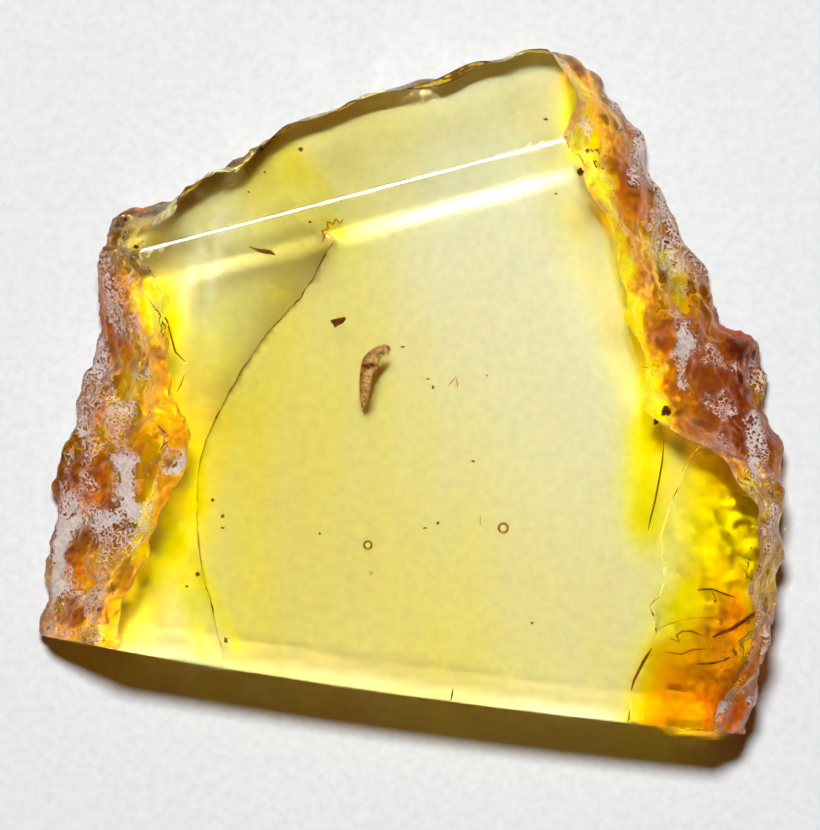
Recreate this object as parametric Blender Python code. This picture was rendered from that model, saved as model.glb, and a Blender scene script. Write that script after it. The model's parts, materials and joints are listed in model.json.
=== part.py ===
"""Insect in amber: a polished lump of clear amber with its weathered rind, parted level with its inclusions.

The amber grew as one piece. It is parted by a thin level gap so that the insect and three scraps of bark
and wood, which are sealed inside it, lie in pockets. Lengths are in millimetres, and MM turns them to metres.
"""

import math

import bmesh
import bpy
from mathutils import Vector, noise

MM = 0.001

# The lump.
THICKNESS = 5.0
PART_LEVEL = 2.75
PART_GAP = 0.3
# The rough lump is a loft: columns round it, and levels that keep clear of the parting gap.
COLUMNS = 200
RIND_LEVELS = (-0.3, 0.25, 0.6, 0.95, 1.3, 1.65, 2.0, 2.4, 3.1, 3.45, 3.8, 4.15, 4.5, 4.8, 5.4)
SLOPE_POWER = 1.35
UNDERCUT_POWER = 1.6

# The rind's relief: height and spacing of its broad lumps, its pits and its ledges.
LUMP_HEIGHT = 0.55
LUMP_SPACING = 2.3
PIT_HEIGHT = 0.24
PIT_SPACING = 0.85
LEDGE_HEIGHT = 0.16
LEDGE_SPACING = 1.1
LEDGE_SHARPNESS = 4.0
LEDGE_STACKING = 2.2
RELIEF_SET_BACK = 0.15
PIT_FIELD = Vector((7.0, 3.0, 11.0))
LEDGE_FIELD = Vector((2.0, 9.0, 4.0))

# Polished faces: the bevel falls away from the ridge, and the front is sawn upright in a shallow arc.
RIDGE_LEFT = (-10.65, 5.86)
RIDGE_RIGHT = (6.52, 10.38)
BEVEL_SLOPE = math.radians(25)
FRONT_LEFT = (-14.77, -9.86)
FRONT_RIGHT = (13.23, -13.78)
FRONT_BULGE = 0.3
FRONT_FACETS = 8

# Stations round the lump, clockwise from above: widest outline, top rim, base rim, widest level.
FRONT_STATIONS = (
    ((11.0, -16.6), (10.6, -16.4), (8.0, -16.2), 1.6),
    ((-13.6, -12.9), (-11.6, -12.9), (-12.9, -12.7), 0.9),
)
LEFT_STATIONS = (
    ((-15.1, -10.8), (-12.4, -11.0), (-14.2, -10.8), 0.9),
    ((-15.15, -8.4), (-11.8, -8.6), (-14.2, -8.4), 0.9),
    ((-14.7, -5.6), (-10.7, -6.1), (-13.5, -5.7), 0.9),
    ((-14.5, -2.6), (-9.2, -2.6), (-13.1, -2.7), 1.0),
    ((-13.9, -0.2), (-9.5, -0.4), (-12.6, -0.4), 1.0),
    ((-12.8, 1.9), (-9.6, 1.7), (-11.9, 1.7), 0.9),
    ((-12.9, 4.5), (-10.1, 3.9), (-12.0, 4.2), 0.9),
    ((-12.6, 6.2), (-10.9, 5.4), (-11.9, 5.7), 1.2),
)
BACK_STATIONS = (
    ((-11.6, 7.2), (-10.4, 6.8), (-11.3, 6.7), 1.4),
    ((-9.4, 8.0), (-9.2, 7.6), (-9.2, 7.5), 1.4),
    ((-7.0, 9.5), (-6.8, 9.1), (-6.8, 9.0), 1.4),
    ((-5.0, 10.8), (-4.8, 10.4), (-4.8, 10.3), 1.4),
    ((-2.8, 12.0), (-2.6, 11.5), (-2.6, 11.4), 1.4),
    ((-0.3, 12.6), (-0.2, 12.1), (-0.2, 12.1), 1.4),
    ((2.7, 13.25), (2.7, 12.8), (2.6, 12.8), 1.4),
    ((5.1, 13.8), (4.9, 13.3), (4.9, 13.3), 1.4),
)
RIGHT_STATIONS = (
    ((6.6, 13.7), (5.7, 12.3), (6.2, 13.1), 1.2),
    ((7.7, 13.0), (6.2, 11.3), (7.0, 12.5), 1.0),
    ((8.8, 11.4), (6.6, 10.2), (7.8, 10.9), 1.0),
    ((9.95, 9.0), (7.1, 8.3), (8.8, 8.6), 1.0),
    ((10.9, 6.4), (8.0, 6.1), (9.6, 6.1), 1.0),
    ((11.9, 5.1), (8.6, 4.6), (10.6, 4.6), 1.0),
    ((12.9, 3.0), (9.1, 2.8), (11.5, 2.7), 1.0),
    ((14.0, 1.7), (9.4, 1.1), (12.4, 1.1), 1.0),
    ((14.6, -0.7), (9.9, -0.9), (12.4, -0.9), 1.1),
    ((14.85, -2.5), (11.7, -2.3), (11.3, -2.5), 1.6),
    ((14.9, -4.3), (13.6, -4.0), (10.4, -4.4), 2.2),
    ((14.7, -6.7), (13.9, -6.6), (10.1, -6.7), 2.4),
    ((14.7, -8.8), (14.0, -8.8), (9.9, -8.8), 2.4),
    ((14.1, -11.2), (13.3, -11.2), (9.3, -11.2), 2.2),
    ((13.5, -13.3), (12.5, -13.4), (8.7, -13.4), 2.0),
    ((12.9, -15.4), (11.7, -15.4), (8.3, -15.4), 1.8),
)

# A shallow flake scar on the underside: its steep edge, and the far side where it runs out.
SCAR_EDGE = (
    (-2.97, 6.67), (-3.70, 5.29), (-4.59, 3.88), (-5.80, 2.55), (-6.81, 1.13), (-7.62, -0.28),
    (-8.42, -1.90), (-8.75, -3.51), (-8.75, -5.53), (-8.50, -7.35), (-8.02, -9.17), (-7.5, -11.6),
)
SCAR_DEPTH = 0.35
SCAR_WIDTH = 4.2
SCAR_MIDDLE = 0.45
SCAR_MIDDLE_DEPTH = 0.5
SCAR_RUN_OUT = -0.1
SCAR_BELOW = 0.3
SCAR_SHALLOW_END = (-0.1, 0.25, 0.8)

# The insect, lying on its side: points along its body from tail to head, with the radius at each.
INSECT_BODY = (
    ((-2.02, -0.62), 0.045),
    ((-1.98, -0.34), 0.12),
    ((-1.955, -0.04), 0.20),
    ((-1.94, 0.30), 0.26),
    ((-1.90, 0.64), 0.29),
    ((-1.87, 0.92), 0.27),
    ((-1.80, 1.16), 0.32),
    ((-1.66, 1.40), 0.31),
    ((-1.46, 1.60), 0.25),
    ((-1.22, 1.74), 0.205),
    ((-1.02, 1.80), 0.15),
)
INSECT_RINGS = 34
INSECT_SIDES = 14
INSECT_FLATNESS = 0.85
FACE_LENGTH = 0.55
FACE_WIDTH = 0.5
ABDOMEN_END = 0.5
SEGMENTS = 7
SEGMENT_GROOVE = 0.07
GROOVE_SHARPNESS = 4
LEG_RADIUS = 0.035
FEELER_RADIUS = 0.025
LIMB_SIDES = 6
LIMB_STEPS = 8
LIMB_TAPER = 0.45
LEGS = (
    ((-1.62, 1.12, 0.08), (-1.36, 1.08, 0.10), (-1.46, 0.78, 0.08), (-1.52, 0.60, 0.06)),
    ((-1.66, 1.02, -0.10), (-1.40, 0.92, -0.12), (-1.52, 0.56, -0.08), (-1.58, 0.38, -0.06)),
    ((-1.70, 0.82, 0.05), (-1.50, 0.58, 0.06), (-1.62, 0.22, 0.04), (-1.64, 0.02, 0.02)),
)
FEELERS = (
    ((-1.06, 1.74, 0.06), (-0.98, 1.60, 0.08), (-1.04, 1.42, 0.06)),
    ((-1.08, 1.72, -0.06), (-1.06, 1.56, -0.09), (-1.16, 1.42, -0.08)),
)
WING_ROOT = (-1.86, 1.06)
WING_TIP = (-2.02, -0.86)
WING_WIDTH = 0.44
WING_THICKNESS = 0.07
WING_HEIGHT = 0.2
WING_NARROWEST = 0.55
WING_FALL = 0.75
WING_SEGMENTS = 12
WING_RINGS = 8

# Scraps of bark and wood: outline corners from each one's middle, thickness, and where it lies.
BARK_FLAKE = (
    (-0.32, 0.06), (0.28, 0.21), (0.33, 0.13), (0.20, -0.08), (0.02, -0.14), (-0.12, -0.25), (-0.2, -0.08),
)
BARK_FLAKE_AT = (-3.05, 2.87)
BARK_FLAKE_THICKNESS = 0.14
BARK_BIT = ((-0.14, -0.34), (0.02, -0.30), (0.12, 0.02), (0.16, 0.30), (0.0, 0.34), (-0.10, 0.06))
BARK_BIT_AT = (9.84, -0.95)
BARK_BIT_THICKNESS = 0.2
SPLINTER = ((-0.54, 0.16), (-0.2, 0.04), (0.12, -0.04), (0.3, -0.06), (0.52, -0.17))
SPLINTER_RADII = (0.025, 0.06, 0.1, 0.085, 0.03)
SPLINTER_AT = (-6.08, 5.74)
SPLINTER_SIDES = 8
SCRAP_BEVEL = 0.03
POCKET_CLEARANCE = 0.17
POCKET_SIDES = 12
POCKET_STATIONS = 9
POCKET_ROUNDNESS = 0.6


def clear_scene():
    for thing in list(bpy.data.objects):
        bpy.data.objects.remove(thing, do_unlink=True)


def material(name, colour, roughness, transmission=0.0, ior=1.5):
    made = bpy.data.materials.new(name)
    made.use_nodes = True
    shader = made.node_tree.nodes["Principled BSDF"]
    shader.inputs["Base Color"].default_value = (*colour, 1.0)
    shader.inputs["Roughness"].default_value = roughness
    shader.inputs["Metallic"].default_value = 0.0
    shader.inputs["Transmission Weight"].default_value = transmission
    shader.inputs["IOR"].default_value = ior
    return made


def add_object(name, mesh, surface):
    thing = bpy.data.objects.new(name, mesh)
    bpy.context.scene.collection.objects.link(thing)
    if surface is not None:
        mesh.materials.append(surface)
    return thing


def object_from(name, bm, surface=None):
    bmesh.ops.recalc_face_normals(bm, faces=bm.faces)
    mesh = bpy.data.meshes.new(name)
    bm.to_mesh(mesh)
    bm.free()
    return add_object(name, mesh, surface)


def hide_as_cutter(thing):
    thing.hide_render = True
    thing.display_type = "WIRE"


def boolean(target, other, operation):
    step = target.modifiers.new(f"{operation.lower()} {other.name}", "BOOLEAN")
    step.operation = operation
    step.object = other
    step.solver = "EXACT"
    hide_as_cutter(other)


def curve_through(values, share, closed):
    """A point of the Catmull-Rom curve through the values, at this share of its length."""
    count = len(values)
    place = share * (count if closed else count - 1)
    index = min(int(place), count - 1 if closed else count - 2)
    along = place - index

    def value(offset):
        at = index + offset
        at = at % count if closed else min(max(at, 0), count - 1)
        return values[at]

    before, start, end, after = value(-1), value(0), value(1), value(2)
    bend = before * -1 + start * 3 - end * 3 + after
    lean = before * 2 - start * 5 + end * 4 - after
    run = end - before
    return (bend * along**3 + lean * along**2 + run * along) * 0.5 + start


def rind_relief(place, level):
    """How far the weathered rind stands out at this place: broad lumps, pits, and ledges that step."""
    spot = Vector((place.x, place.y, level))
    lumps = noise.noise(spot / LUMP_SPACING) * LUMP_HEIGHT
    pits = noise.noise(spot / PIT_SPACING + PIT_FIELD) * PIT_HEIGHT
    stacked = Vector((place.x, place.y, level * LEDGE_STACKING))
    steps = noise.noise(stacked / LEDGE_SPACING + LEDGE_FIELD)
    ledges = math.copysign(min(abs(steps) * LEDGE_SHARPNESS, 1.0), steps) * LEDGE_HEIGHT
    return lumps + pits + ledges - RELIEF_SET_BACK


def rough_lump():
    """The lump before it was cut: rings of points, from below the base to above the top."""
    stations = (*LEFT_STATIONS, *BACK_STATIONS, *RIGHT_STATIONS, *FRONT_STATIONS)
    widest = [Vector(outline) for outline, _, _, _ in stations]
    rims = [Vector(rim) for _, rim, _, _ in stations]
    bases = [Vector(base) for _, _, base, _ in stations]
    levels = [level for _, _, _, level in stations]
    bm = bmesh.new()
    rings = []
    for level in RIND_LEVELS:
        ring = []
        for column in range(COLUMNS):
            share = column / COLUMNS
            outline = curve_through(widest, share, True)
            rim = curve_through(rims, share, True)
            base = curve_through(bases, share, True)
            widest_level = curve_through(levels, share, True)
            step = curve_through(widest, (share + 0.5 / COLUMNS) % 1.0, True) - outline
            outward = Vector((-step.y, step.x)).normalized()
            if level > widest_level:
                rise = (level - widest_level) / (THICKNESS - widest_level)
                place = outline + (rim - outline) * rise**SLOPE_POWER
            else:
                drop = (widest_level - level) / widest_level
                place = outline + (base - outline) * drop**UNDERCUT_POWER
            place = place + outward * rind_relief(place, level)
            ring.append(bm.verts.new((place.x * MM, place.y * MM, level * MM)))
        rings.append(ring)
    for lower, upper in zip(rings, rings[1:]):
        for column in range(COLUMNS):
            after = (column + 1) % COLUMNS
            bm.faces.new((lower[column], lower[after], upper[after], upper[column]))
    bm.faces.new(rings[0])
    bm.faces.new(rings[-1])
    bmesh.ops.recalc_face_normals(bm, faces=bm.faces)
    return bm


def slice_off(bm, point, normal):
    """Cut away everything on the normal's side of a plane, and close the cut with one flat face."""
    everything = [*bm.verts, *bm.edges, *bm.faces]
    at = Vector(point) * MM
    cut = bmesh.ops.bisect_plane(
        bm, geom=everything, dist=1e-8, plane_co=at, plane_no=Vector(normal), clear_outer=True
    )
    edges = [part for part in cut["geom_cut"] if isinstance(part, bmesh.types.BMEdge)]
    bmesh.ops.contextual_create(bm, geom=edges)


def front_points():
    """Points along the sawn front, which bulges outward between its ends."""
    left = Vector(FRONT_LEFT)
    right = Vector(FRONT_RIGHT)
    chord = right - left
    outward = Vector((chord.y, -chord.x)).normalized()
    points = []
    for index in range(FRONT_FACETS + 1):
        share = index / FRONT_FACETS
        bulge = FRONT_BULGE * (1.0 - (2.0 * share - 1.0) ** 2)
        points.append(left + chord * share + outward * bulge)
    return points


def cut_and_polish(bm):
    slice_off(bm, (0.0, 0.0, 0.0), (0.0, 0.0, -1.0))
    slice_off(bm, (0.0, 0.0, THICKNESS), (0.0, 0.0, 1.0))
    ridge = Vector(RIDGE_RIGHT) - Vector(RIDGE_LEFT)
    away = Vector((-ridge.y, ridge.x)).normalized() * math.sin(BEVEL_SLOPE)
    slice_off(bm, (*RIDGE_LEFT, THICKNESS), (*away, math.cos(BEVEL_SLOPE)))
    points = front_points()
    for start, end in zip(points, points[1:]):
        run = end - start
        slice_off(bm, (*start, 0.0), (run.y, -run.x, 0.0))


def scar_cutter():
    """A wedge that is deepest at the scar's edge and rises out of the base on the far side."""
    edge = [Vector(point) for point in SCAR_EDGE]
    bm = bmesh.new()
    rows = []
    for index, point in enumerate(edge):
        before = edge[max(index - 1, 0)]
        after = edge[min(index + 1, len(edge) - 1)]
        run = (after - before).normalized()
        away = Vector((run.y, -run.x))
        middle = point + away * SCAR_WIDTH * SCAR_MIDDLE
        far = point + away * SCAR_WIDTH
        deepest = SCAR_DEPTH * (SCAR_SHALLOW_END[index] if index < len(SCAR_SHALLOW_END) else 1.0)
        corners = (
            (*point, -SCAR_BELOW),
            (*point, deepest),
            (*middle, deepest * SCAR_MIDDLE_DEPTH),
            (*far, SCAR_RUN_OUT),
            (*far, -SCAR_BELOW),
        )
        rows.append([bm.verts.new(Vector(corner) * MM) for corner in corners])
    for row, following in zip(rows, rows[1:]):
        for index in range(len(row)):
            after = (index + 1) % len(row)
            bm.faces.new((row[index], row[after], following[after], following[index]))
    bm.faces.new(rows[0])
    bm.faces.new(rows[-1])
    return object_from("scar_cutter", bm)


def tube(bm, points, radii, sides, flatness=1.0):
    """A closed tube round the points, with rounded ends left to the first and last radii."""
    rings = []
    last = len(points) - 1
    for index, (point, radius) in enumerate(zip(points, radii)):
        run = (points[min(index + 1, last)] - points[max(index - 1, 0)]).normalized()
        side = run.cross(Vector((0.0, 0.0, 1.0))).normalized()
        up = side.cross(run)
        ring = []
        for turn in range(sides):
            angle = math.tau * turn / sides
            offset = side * math.cos(angle) * radius + up * math.sin(angle) * radius * flatness
            ring.append(bm.verts.new((point + offset) * MM))
        rings.append(ring)
    for ring, following in zip(rings, rings[1:]):
        for turn in range(sides):
            after = (turn + 1) % sides
            bm.faces.new((ring[turn], ring[after], following[after], following[turn]))
    bm.faces.new(rings[0])
    bm.faces.new(rings[-1])


def limb(name, points, radius):
    """A jointed limb whose points are given from the part level."""
    path = [Vector((x, y, PART_LEVEL + z)) for x, y, z in points]
    shares = [step / LIMB_STEPS for step in range(LIMB_STEPS + 1)]
    smooth = [curve_through(path, share, False) for share in shares]
    radii = [radius * (1.0 - LIMB_TAPER * share) for share in shares]
    bm = bmesh.new()
    tube(bm, smooth, radii, LIMB_SIDES)
    return object_from(name, bm)


def insect_body():
    """Tail, ringed abdomen, humped thorax and bowed head, as one tapering tube."""
    spine = [Vector((x, y, PART_LEVEL)) for (x, y), _ in INSECT_BODY]
    widths = [radius for _, radius in INSECT_BODY]
    points = []
    radii = []
    for index in range(INSECT_RINGS + 1):
        share = index / INSECT_RINGS
        radius = curve_through(widths, share, False)
        if share < ABDOMEN_END:
            groove = math.cos(math.pi * SEGMENTS * share / ABDOMEN_END) ** GROOVE_SHARPNESS
            radius *= 1.0 - SEGMENT_GROOVE * groove
        points.append(curve_through(spine, share, False))
        radii.append(radius)
    points.append(points[-1] + (points[-1] - points[-2]).normalized() * widths[-1] * FACE_LENGTH)
    radii.append(widths[-1] * FACE_WIDTH)
    bm = bmesh.new()
    tube(bm, points, radii, INSECT_SIDES, INSECT_FLATNESS)
    return bm


def wing(name, side):
    """One folded wing: a ball of unit width, drawn out into a thin blade from the thorax to past the tail."""
    root = Vector(WING_ROOT)
    tip = Vector(WING_TIP)
    run = tip - root
    across = Vector((-run.y, run.x)).normalized()
    bm = bmesh.new()
    bmesh.ops.create_uvsphere(bm, u_segments=WING_SEGMENTS, v_segments=WING_RINGS, radius=0.5)
    for vert in bm.verts:
        along = vert.co.x + 0.5
        width = WING_WIDTH * (WING_NARROWEST + (1.0 - WING_NARROWEST) * math.sin(math.pi * along))
        place = root + run * along + across * vert.co.y * width
        height = PART_LEVEL + side * WING_HEIGHT * (1.0 - WING_FALL * along)
        vert.co = Vector((place.x, place.y, height + vert.co.z * WING_THICKNESS)) * MM
    return object_from(name, bm)


def build_insect(surface):
    insect = object_from("insect", insect_body(), surface)
    pieces = [limb(f"leg_{index}", points, LEG_RADIUS) for index, points in enumerate(LEGS)]
    pieces += [limb(f"feeler_{index}", points, FEELER_RADIUS) for index, points in enumerate(FEELERS)]
    pieces += [wing("upper_wing", 1.0), wing("lower_wing", -1.0)]
    for piece in pieces:
        boolean(insect, piece, "UNION")
    insect.data.shade_smooth()
    insect.data.set_sharp_from_angle(angle=math.radians(50))


def build_scrap(name, outline, at, thickness, surface):
    """A flat scrap: its outline extruded, its corners eased."""
    bm = bmesh.new()
    low = PART_LEVEL - thickness / 2
    corners = [bm.verts.new(Vector((at[0] + x, at[1] + y, low)) * MM) for x, y in outline]
    face = bm.faces.new(corners)
    raised = bmesh.ops.extrude_face_region(bm, geom=[face])
    tops = [part for part in raised["geom"] if isinstance(part, bmesh.types.BMVert)]
    bmesh.ops.translate(bm, verts=tops, vec=(0.0, 0.0, thickness * MM))
    scrap = object_from(name, bm, surface)
    ease = scrap.modifiers.new("eased corners", "BEVEL")
    ease.width = SCRAP_BEVEL * MM
    ease.segments = 1
    return scrap


def build_splinter(surface):
    middle = Vector((*SPLINTER_AT, PART_LEVEL))
    points = [middle + Vector((x, y, 0.0)) for x, y in SPLINTER]
    bm = bmesh.new()
    tube(bm, points, SPLINTER_RADII, SPLINTER_SIDES)
    return object_from("wood_splinter", bm, surface)


def pocket(name, start, end, width, height):
    """A long rounded hollow from start to end, which leaves a clearance round what lies in it."""
    first = Vector((*start, PART_LEVEL))
    run = Vector((*end, PART_LEVEL)) - first
    reach = run.normalized() * POCKET_CLEARANCE
    first = first - reach
    run = run + reach * 2
    points = []
    radii = []
    for index in range(POCKET_STATIONS):
        angle = math.pi * (index + 0.5) / POCKET_STATIONS
        points.append(first + run * (1.0 - math.cos(angle)) / 2)
        radii.append((width / 2 + POCKET_CLEARANCE) * math.sin(angle) ** POCKET_ROUNDNESS)
    bm = bmesh.new()
    flatness = (height / 2 + POCKET_CLEARANCE) / (width / 2 + POCKET_CLEARANCE)
    tube(bm, points, radii, POCKET_SIDES, flatness)
    return object_from(name, bm)


def pockets():
    """The hollows that the inclusions lie in: where each starts and ends, its width and its height."""
    flake = Vector(BARK_FLAKE_AT)
    bit = Vector(BARK_BIT_AT)
    splinter = Vector(SPLINTER_AT)
    return [
        pocket("insect_pocket", (-2.2, -0.95), (-0.95, 2.12), 0.95, 0.62),
        pocket("flake_pocket", flake + Vector((-0.4, 0.0)), flake + Vector((0.42, 0.08)), 0.5, 0.3),
        pocket("bit_pocket", bit + Vector((-0.06, -0.42)), bit + Vector((0.08, 0.44)), 0.34, 0.3),
        pocket("wood_pocket", splinter + Vector((-0.6, 0.16)), splinter + Vector((0.58, -0.17)), 0.28, 0.24),
    ]


def amber_half(name, lump, level, keep_above, surface):
    half = lump.copy()
    slice_off(half, (0.0, 0.0, level), (0.0, 0.0, -1.0 if keep_above else 1.0))
    return object_from(name, half, surface)


def build_amber(surface):
    lump = rough_lump()
    cut_and_polish(lump)
    lower = amber_half("amber_lower", lump, PART_LEVEL - PART_GAP / 2, False, surface)
    upper = amber_half("amber_upper", lump, PART_LEVEL + PART_GAP / 2, True, surface)
    lump.free()
    boolean(lower, scar_cutter(), "DIFFERENCE")
    for hollow in pockets():
        boolean(lower, hollow, "DIFFERENCE")
        boolean(upper, hollow, "DIFFERENCE")


def main():
    clear_scene()
    amber = material("amber", (0.86, 0.62, 0.09), 0.08, transmission=1.0, ior=1.54)
    chitin = material("chitin", (0.33, 0.2, 0.09), 0.45)
    bark = material("bark", (0.13, 0.05, 0.02), 0.7)
    wood = material("wood", (0.25, 0.13, 0.02), 0.6)
    build_amber(amber)
    build_insect(chitin)
    build_scrap("bark_flake", BARK_FLAKE, BARK_FLAKE_AT, BARK_FLAKE_THICKNESS, bark)
    build_scrap("bark_bit", BARK_BIT, BARK_BIT_AT, BARK_BIT_THICKNESS, bark)
    build_splinter(wood)


main()
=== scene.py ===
"""Insect in amber: a polished lump of clear amber with its rind, and an insect and scraps sealed inside."""

import json
import math

import bpy
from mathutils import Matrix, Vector, noise

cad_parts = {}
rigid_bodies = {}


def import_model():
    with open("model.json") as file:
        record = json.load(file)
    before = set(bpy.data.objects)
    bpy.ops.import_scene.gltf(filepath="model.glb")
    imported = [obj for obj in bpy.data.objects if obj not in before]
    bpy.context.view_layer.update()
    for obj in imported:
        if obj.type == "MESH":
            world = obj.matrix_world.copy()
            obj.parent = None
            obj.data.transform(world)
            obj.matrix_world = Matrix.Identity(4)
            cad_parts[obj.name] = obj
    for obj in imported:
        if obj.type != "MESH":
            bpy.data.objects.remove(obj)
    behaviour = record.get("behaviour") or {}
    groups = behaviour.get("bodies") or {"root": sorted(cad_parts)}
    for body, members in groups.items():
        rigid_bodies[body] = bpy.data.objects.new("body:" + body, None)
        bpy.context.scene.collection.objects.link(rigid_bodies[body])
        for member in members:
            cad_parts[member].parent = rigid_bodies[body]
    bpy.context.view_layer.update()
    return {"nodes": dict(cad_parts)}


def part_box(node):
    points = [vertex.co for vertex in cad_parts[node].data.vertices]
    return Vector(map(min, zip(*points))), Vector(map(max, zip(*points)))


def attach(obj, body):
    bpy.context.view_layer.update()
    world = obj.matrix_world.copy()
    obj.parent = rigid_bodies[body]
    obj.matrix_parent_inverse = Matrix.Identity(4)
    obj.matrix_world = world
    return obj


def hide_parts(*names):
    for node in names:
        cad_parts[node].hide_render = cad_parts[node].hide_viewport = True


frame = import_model()

bl_info = {
    "name": "Insect in amber",
    "version": (1, 0, 0),
    "blender": (4, 5, 0),
    "location": "3D View > Sidebar > Amber",
    "description": "Builds a polished lump of amber with an insect, scraps of bark and bubbles sealed inside",
    "category": "Object",
}

MM = 0.001

# The soft edges wander from this seed, so that every build gives the same lump.
SEED = 5

# Lengths and places are in millimetres, and MM makes them metres.
# The lump, as the solids have it. Its two halves end at the lower and the upper rim level.
TOP_LEVEL = 5.0
LOWER_RIM_LEVEL = 2.6
UPPER_RIM_LEVEL = 2.9
RIDGE_LEFT = Vector((-10.65, 5.86, 5.0))
RIDGE_RIGHT = Vector((6.52, 10.38, 5.0))
BEVEL_SLOPE = math.radians(25)
FRONT_LEFT = Vector((-14.77, -9.86, 0.0))
FRONT_RIGHT = Vector((13.23, -13.78, 0.0))

# The pieces sealed inside, how far round each of them the faces belong to its pocket, and at which levels.
SEALED = ("insect", "bark_flake", "bark_bit", "wood_splinter")
POCKET_SPARE = Vector((0.7, 0.7, 0.6))
POCKET_FLOOR = 1.0
POCKET_CEILING = 4.0

# The flake scar on the underside: its level, its faint waves, how it rises towards the front from where it
# starts, how steep its edge is, its least depth, its bounds and its edge seen from above.
SCAR_TOP_LEVEL = 0.42
SCAR_WAVE_SPACING = 1.5
SCAR_WAVE_HEIGHT = 0.05
SCAR_WAVE_WANDER = 0.35
SCAR_WAVE_FADE = 0.6
SCAR_RISE = 9.0
SCAR_BACK = 6.5
SCAR_STEEPNESS = 0.45
SCAR_LEAST = 0.012
SCAR_SMOOTHING = 12
SCAR_RIGHT = -2.0
SCAR_EDGE_LEFT = -9.6
SCAR_EDGE_REACH = 0.7
SCAR_EDGE = (
    (-3.40, 6.20), (-3.70, 5.29), (-4.59, 3.88), (-5.80, 2.55), (-6.81, 1.13), (-7.62, -0.28),
    (-8.42, -1.90), (-8.75, -3.51), (-8.75, -5.53), (-8.50, -7.35), (-8.02, -9.17), (-7.66, -10.18),
)

# How far the rind is drawn out past the polish before the polish is cut again.
SPARE = 0.4
# A level face with more square millimetres than this is polish that was drawn out.
WIDE_FACE = 10.0
# How many cuts divide each edge where a surface is made fine.
FINE_CUTS = 3
# How many cuts round the ridge off, and how close points may lie before a cut joins them.
RIDGE_CUTS = 6
CUT_JOIN = 0.0005
# The squares that the polished faces are divided into, and how far they reach sideways and lengthways.
SQUARE = 0.35
SQUARE_REACH = (15.4, 14.2)
# Kind of pattern, size of its lumps and their height, from coarse to fine.
RIND_RELIEF = (("CLOUDS", 0.9, 0.13), ("VORONOI", 0.6, 0.15), ("CLOUDS", 0.30, 0.13), ("CLOUDS", 0.16, 0.08))

# The back wall seen from above, how far its upper edge is drawn out, how far round it that reaches, and how
# far behind the ridge it starts.
BACK_WALL = ((-4.4, 10.6), (6.0, 13.6))
BACK_WALL_LEAN = 0.42
BACK_WALL_REACH = 1.6
BACK_WALL_FROM_RIDGE = 1.5

# The undercut rind at the front right: its left, its back, its top and the height that its colour fades over.
UNDERCUT_LEFT = 7.0
UNDERCUT_BACK = -1.2
UNDERCUT_TOP = 1.6
UNDERCUT_FADE = 1.1

# Round bubbles: place, height above the base and radius. They are a little flat.
BUBBLES = ((-1.84, -6.14, 2.9, 0.20), (3.62, -5.45, 3.85, 0.235), (-1.72, -7.27, 1.0, 0.07))
BUBBLE_FLATNESS = 0.92

# Lumps to the metre in the noise of each material.
RIND_FINENESS = 3600.0
BLOOM_FINENESS = 5600.0
MOTTLE_FINENESS = 7000.0
GRAIN_FINENESS = 16000.0
PAPER_FINENESS = 2600.0

# Colours of the light that passes the amber's skin: of the rind by its depth, of its olive back, and of the
# clear, yellow, painted shade, painted glow and orange places in the clear amber.
RIND_COLOURS = (
    (0.05, (0.96, 0.86, 0.002)),
    (0.28, (0.87, 0.63, 0.0005)),
    (0.48, (0.88, 0.38, 0.0005)),
    (0.68, (0.68, 0.185, 0.0005)),
    (0.95, (0.38, 0.055, 0.003)),
)
OLIVE = (0.66, 0.55, 0.29)
CLEAR = (1.0, 1.0, 1.0)
DEEP_YELLOW = (0.97, 0.87, 0.22)
# Painted shade colour: brownish dark for places that less light reaches.
PAINTED_SHADE_BROWN = (0.50, 0.40, 0.22)
# Painted glow colour: bright yellow for light gathered beside the rind.
PAINTED_GLOW_YELLOW = (1.0, 0.95, 0.012)
TINGE_ORANGE = (0.90, 0.45, 0.006)

# The olive band of the rind: its slant, how far back it starts and is full, where it ends at the right, and
# where and how far it fades at the left.
OLIVE_SLANT = 0.26
OLIVE_BACK = (7.6, 9.2)
OLIVE_RIGHT = (6.5, 5.4)
OLIVE_LEFT = (-11.4, -9.6)
OLIVE_AT_LEFT = 0.45

# Soft lines and spots, seen from above: start, end or None, reach and strength.
# How thick and dark the rind is, with painted glow and painted glints where marked.
RIND_DEPTH_AND_LIGHT = (
    ((12.06, 1.94), (12.26, -1.29), 2.8, 0.64),
    ((7.00, 12.60), (7.60, 10.60), 0.9, 0.14),
    ((-11.25, 1.54), None, 1.6, 0.12),
    ((-12.70, 4.20), (-13.60, -8.60), 2.3, 0.16),
    ((7.20, 12.40), (9.00, 8.40), 1.3, 0.18),
    ((8.70, 8.20), (10.10, 2.00), 1.3, 0.24),
    ((13.19, -1.90), None, 1.0, 0.10),
    # Painted glow: yellower rind where light glows through it beside the clear amber.
    ((-10.00, 4.10), (-10.20, 3.00), 1.3, -0.60),
    ((-11.66, 6.79), (-11.25, 5.78), 1.6, -0.35),
    # Painted glow: these three make the rind yellow along the right edge of the clear amber, where light
    # glows through it.
    ((7.05, 9.40), (7.65, 7.80), 0.60, -0.45),
    ((7.65, 7.80), (8.75, 3.80), 0.55, -0.45),
    ((8.75, 3.80), (9.60, -0.30), 0.55, -0.42),
    ((11.00, -10.60), (12.40, -12.40), 2.4, 0.26),
    # Painted glow: yellower rind where it gathers light into the clear amber at the right.
    ((11.17, -3.92), (13.19, -7.55), 2.6, -0.40),
    ((14.32, -3.11), (14.40, -7.55), 1.2, -0.32),
    ((14.60, -4.40), (15.00, -8.20), 1.0, -0.34),
    # Painted glints: these four small spots paint bright yellow sparkles at the front right.
    ((8.15, -12.40), None, 0.3, -0.5),
    ((10.56, -12.72), None, 0.3, -0.5),
    ((9.50, -12.90), None, 0.25, -0.5),
    ((11.60, -12.90), None, 0.25, -0.4),
)
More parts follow.
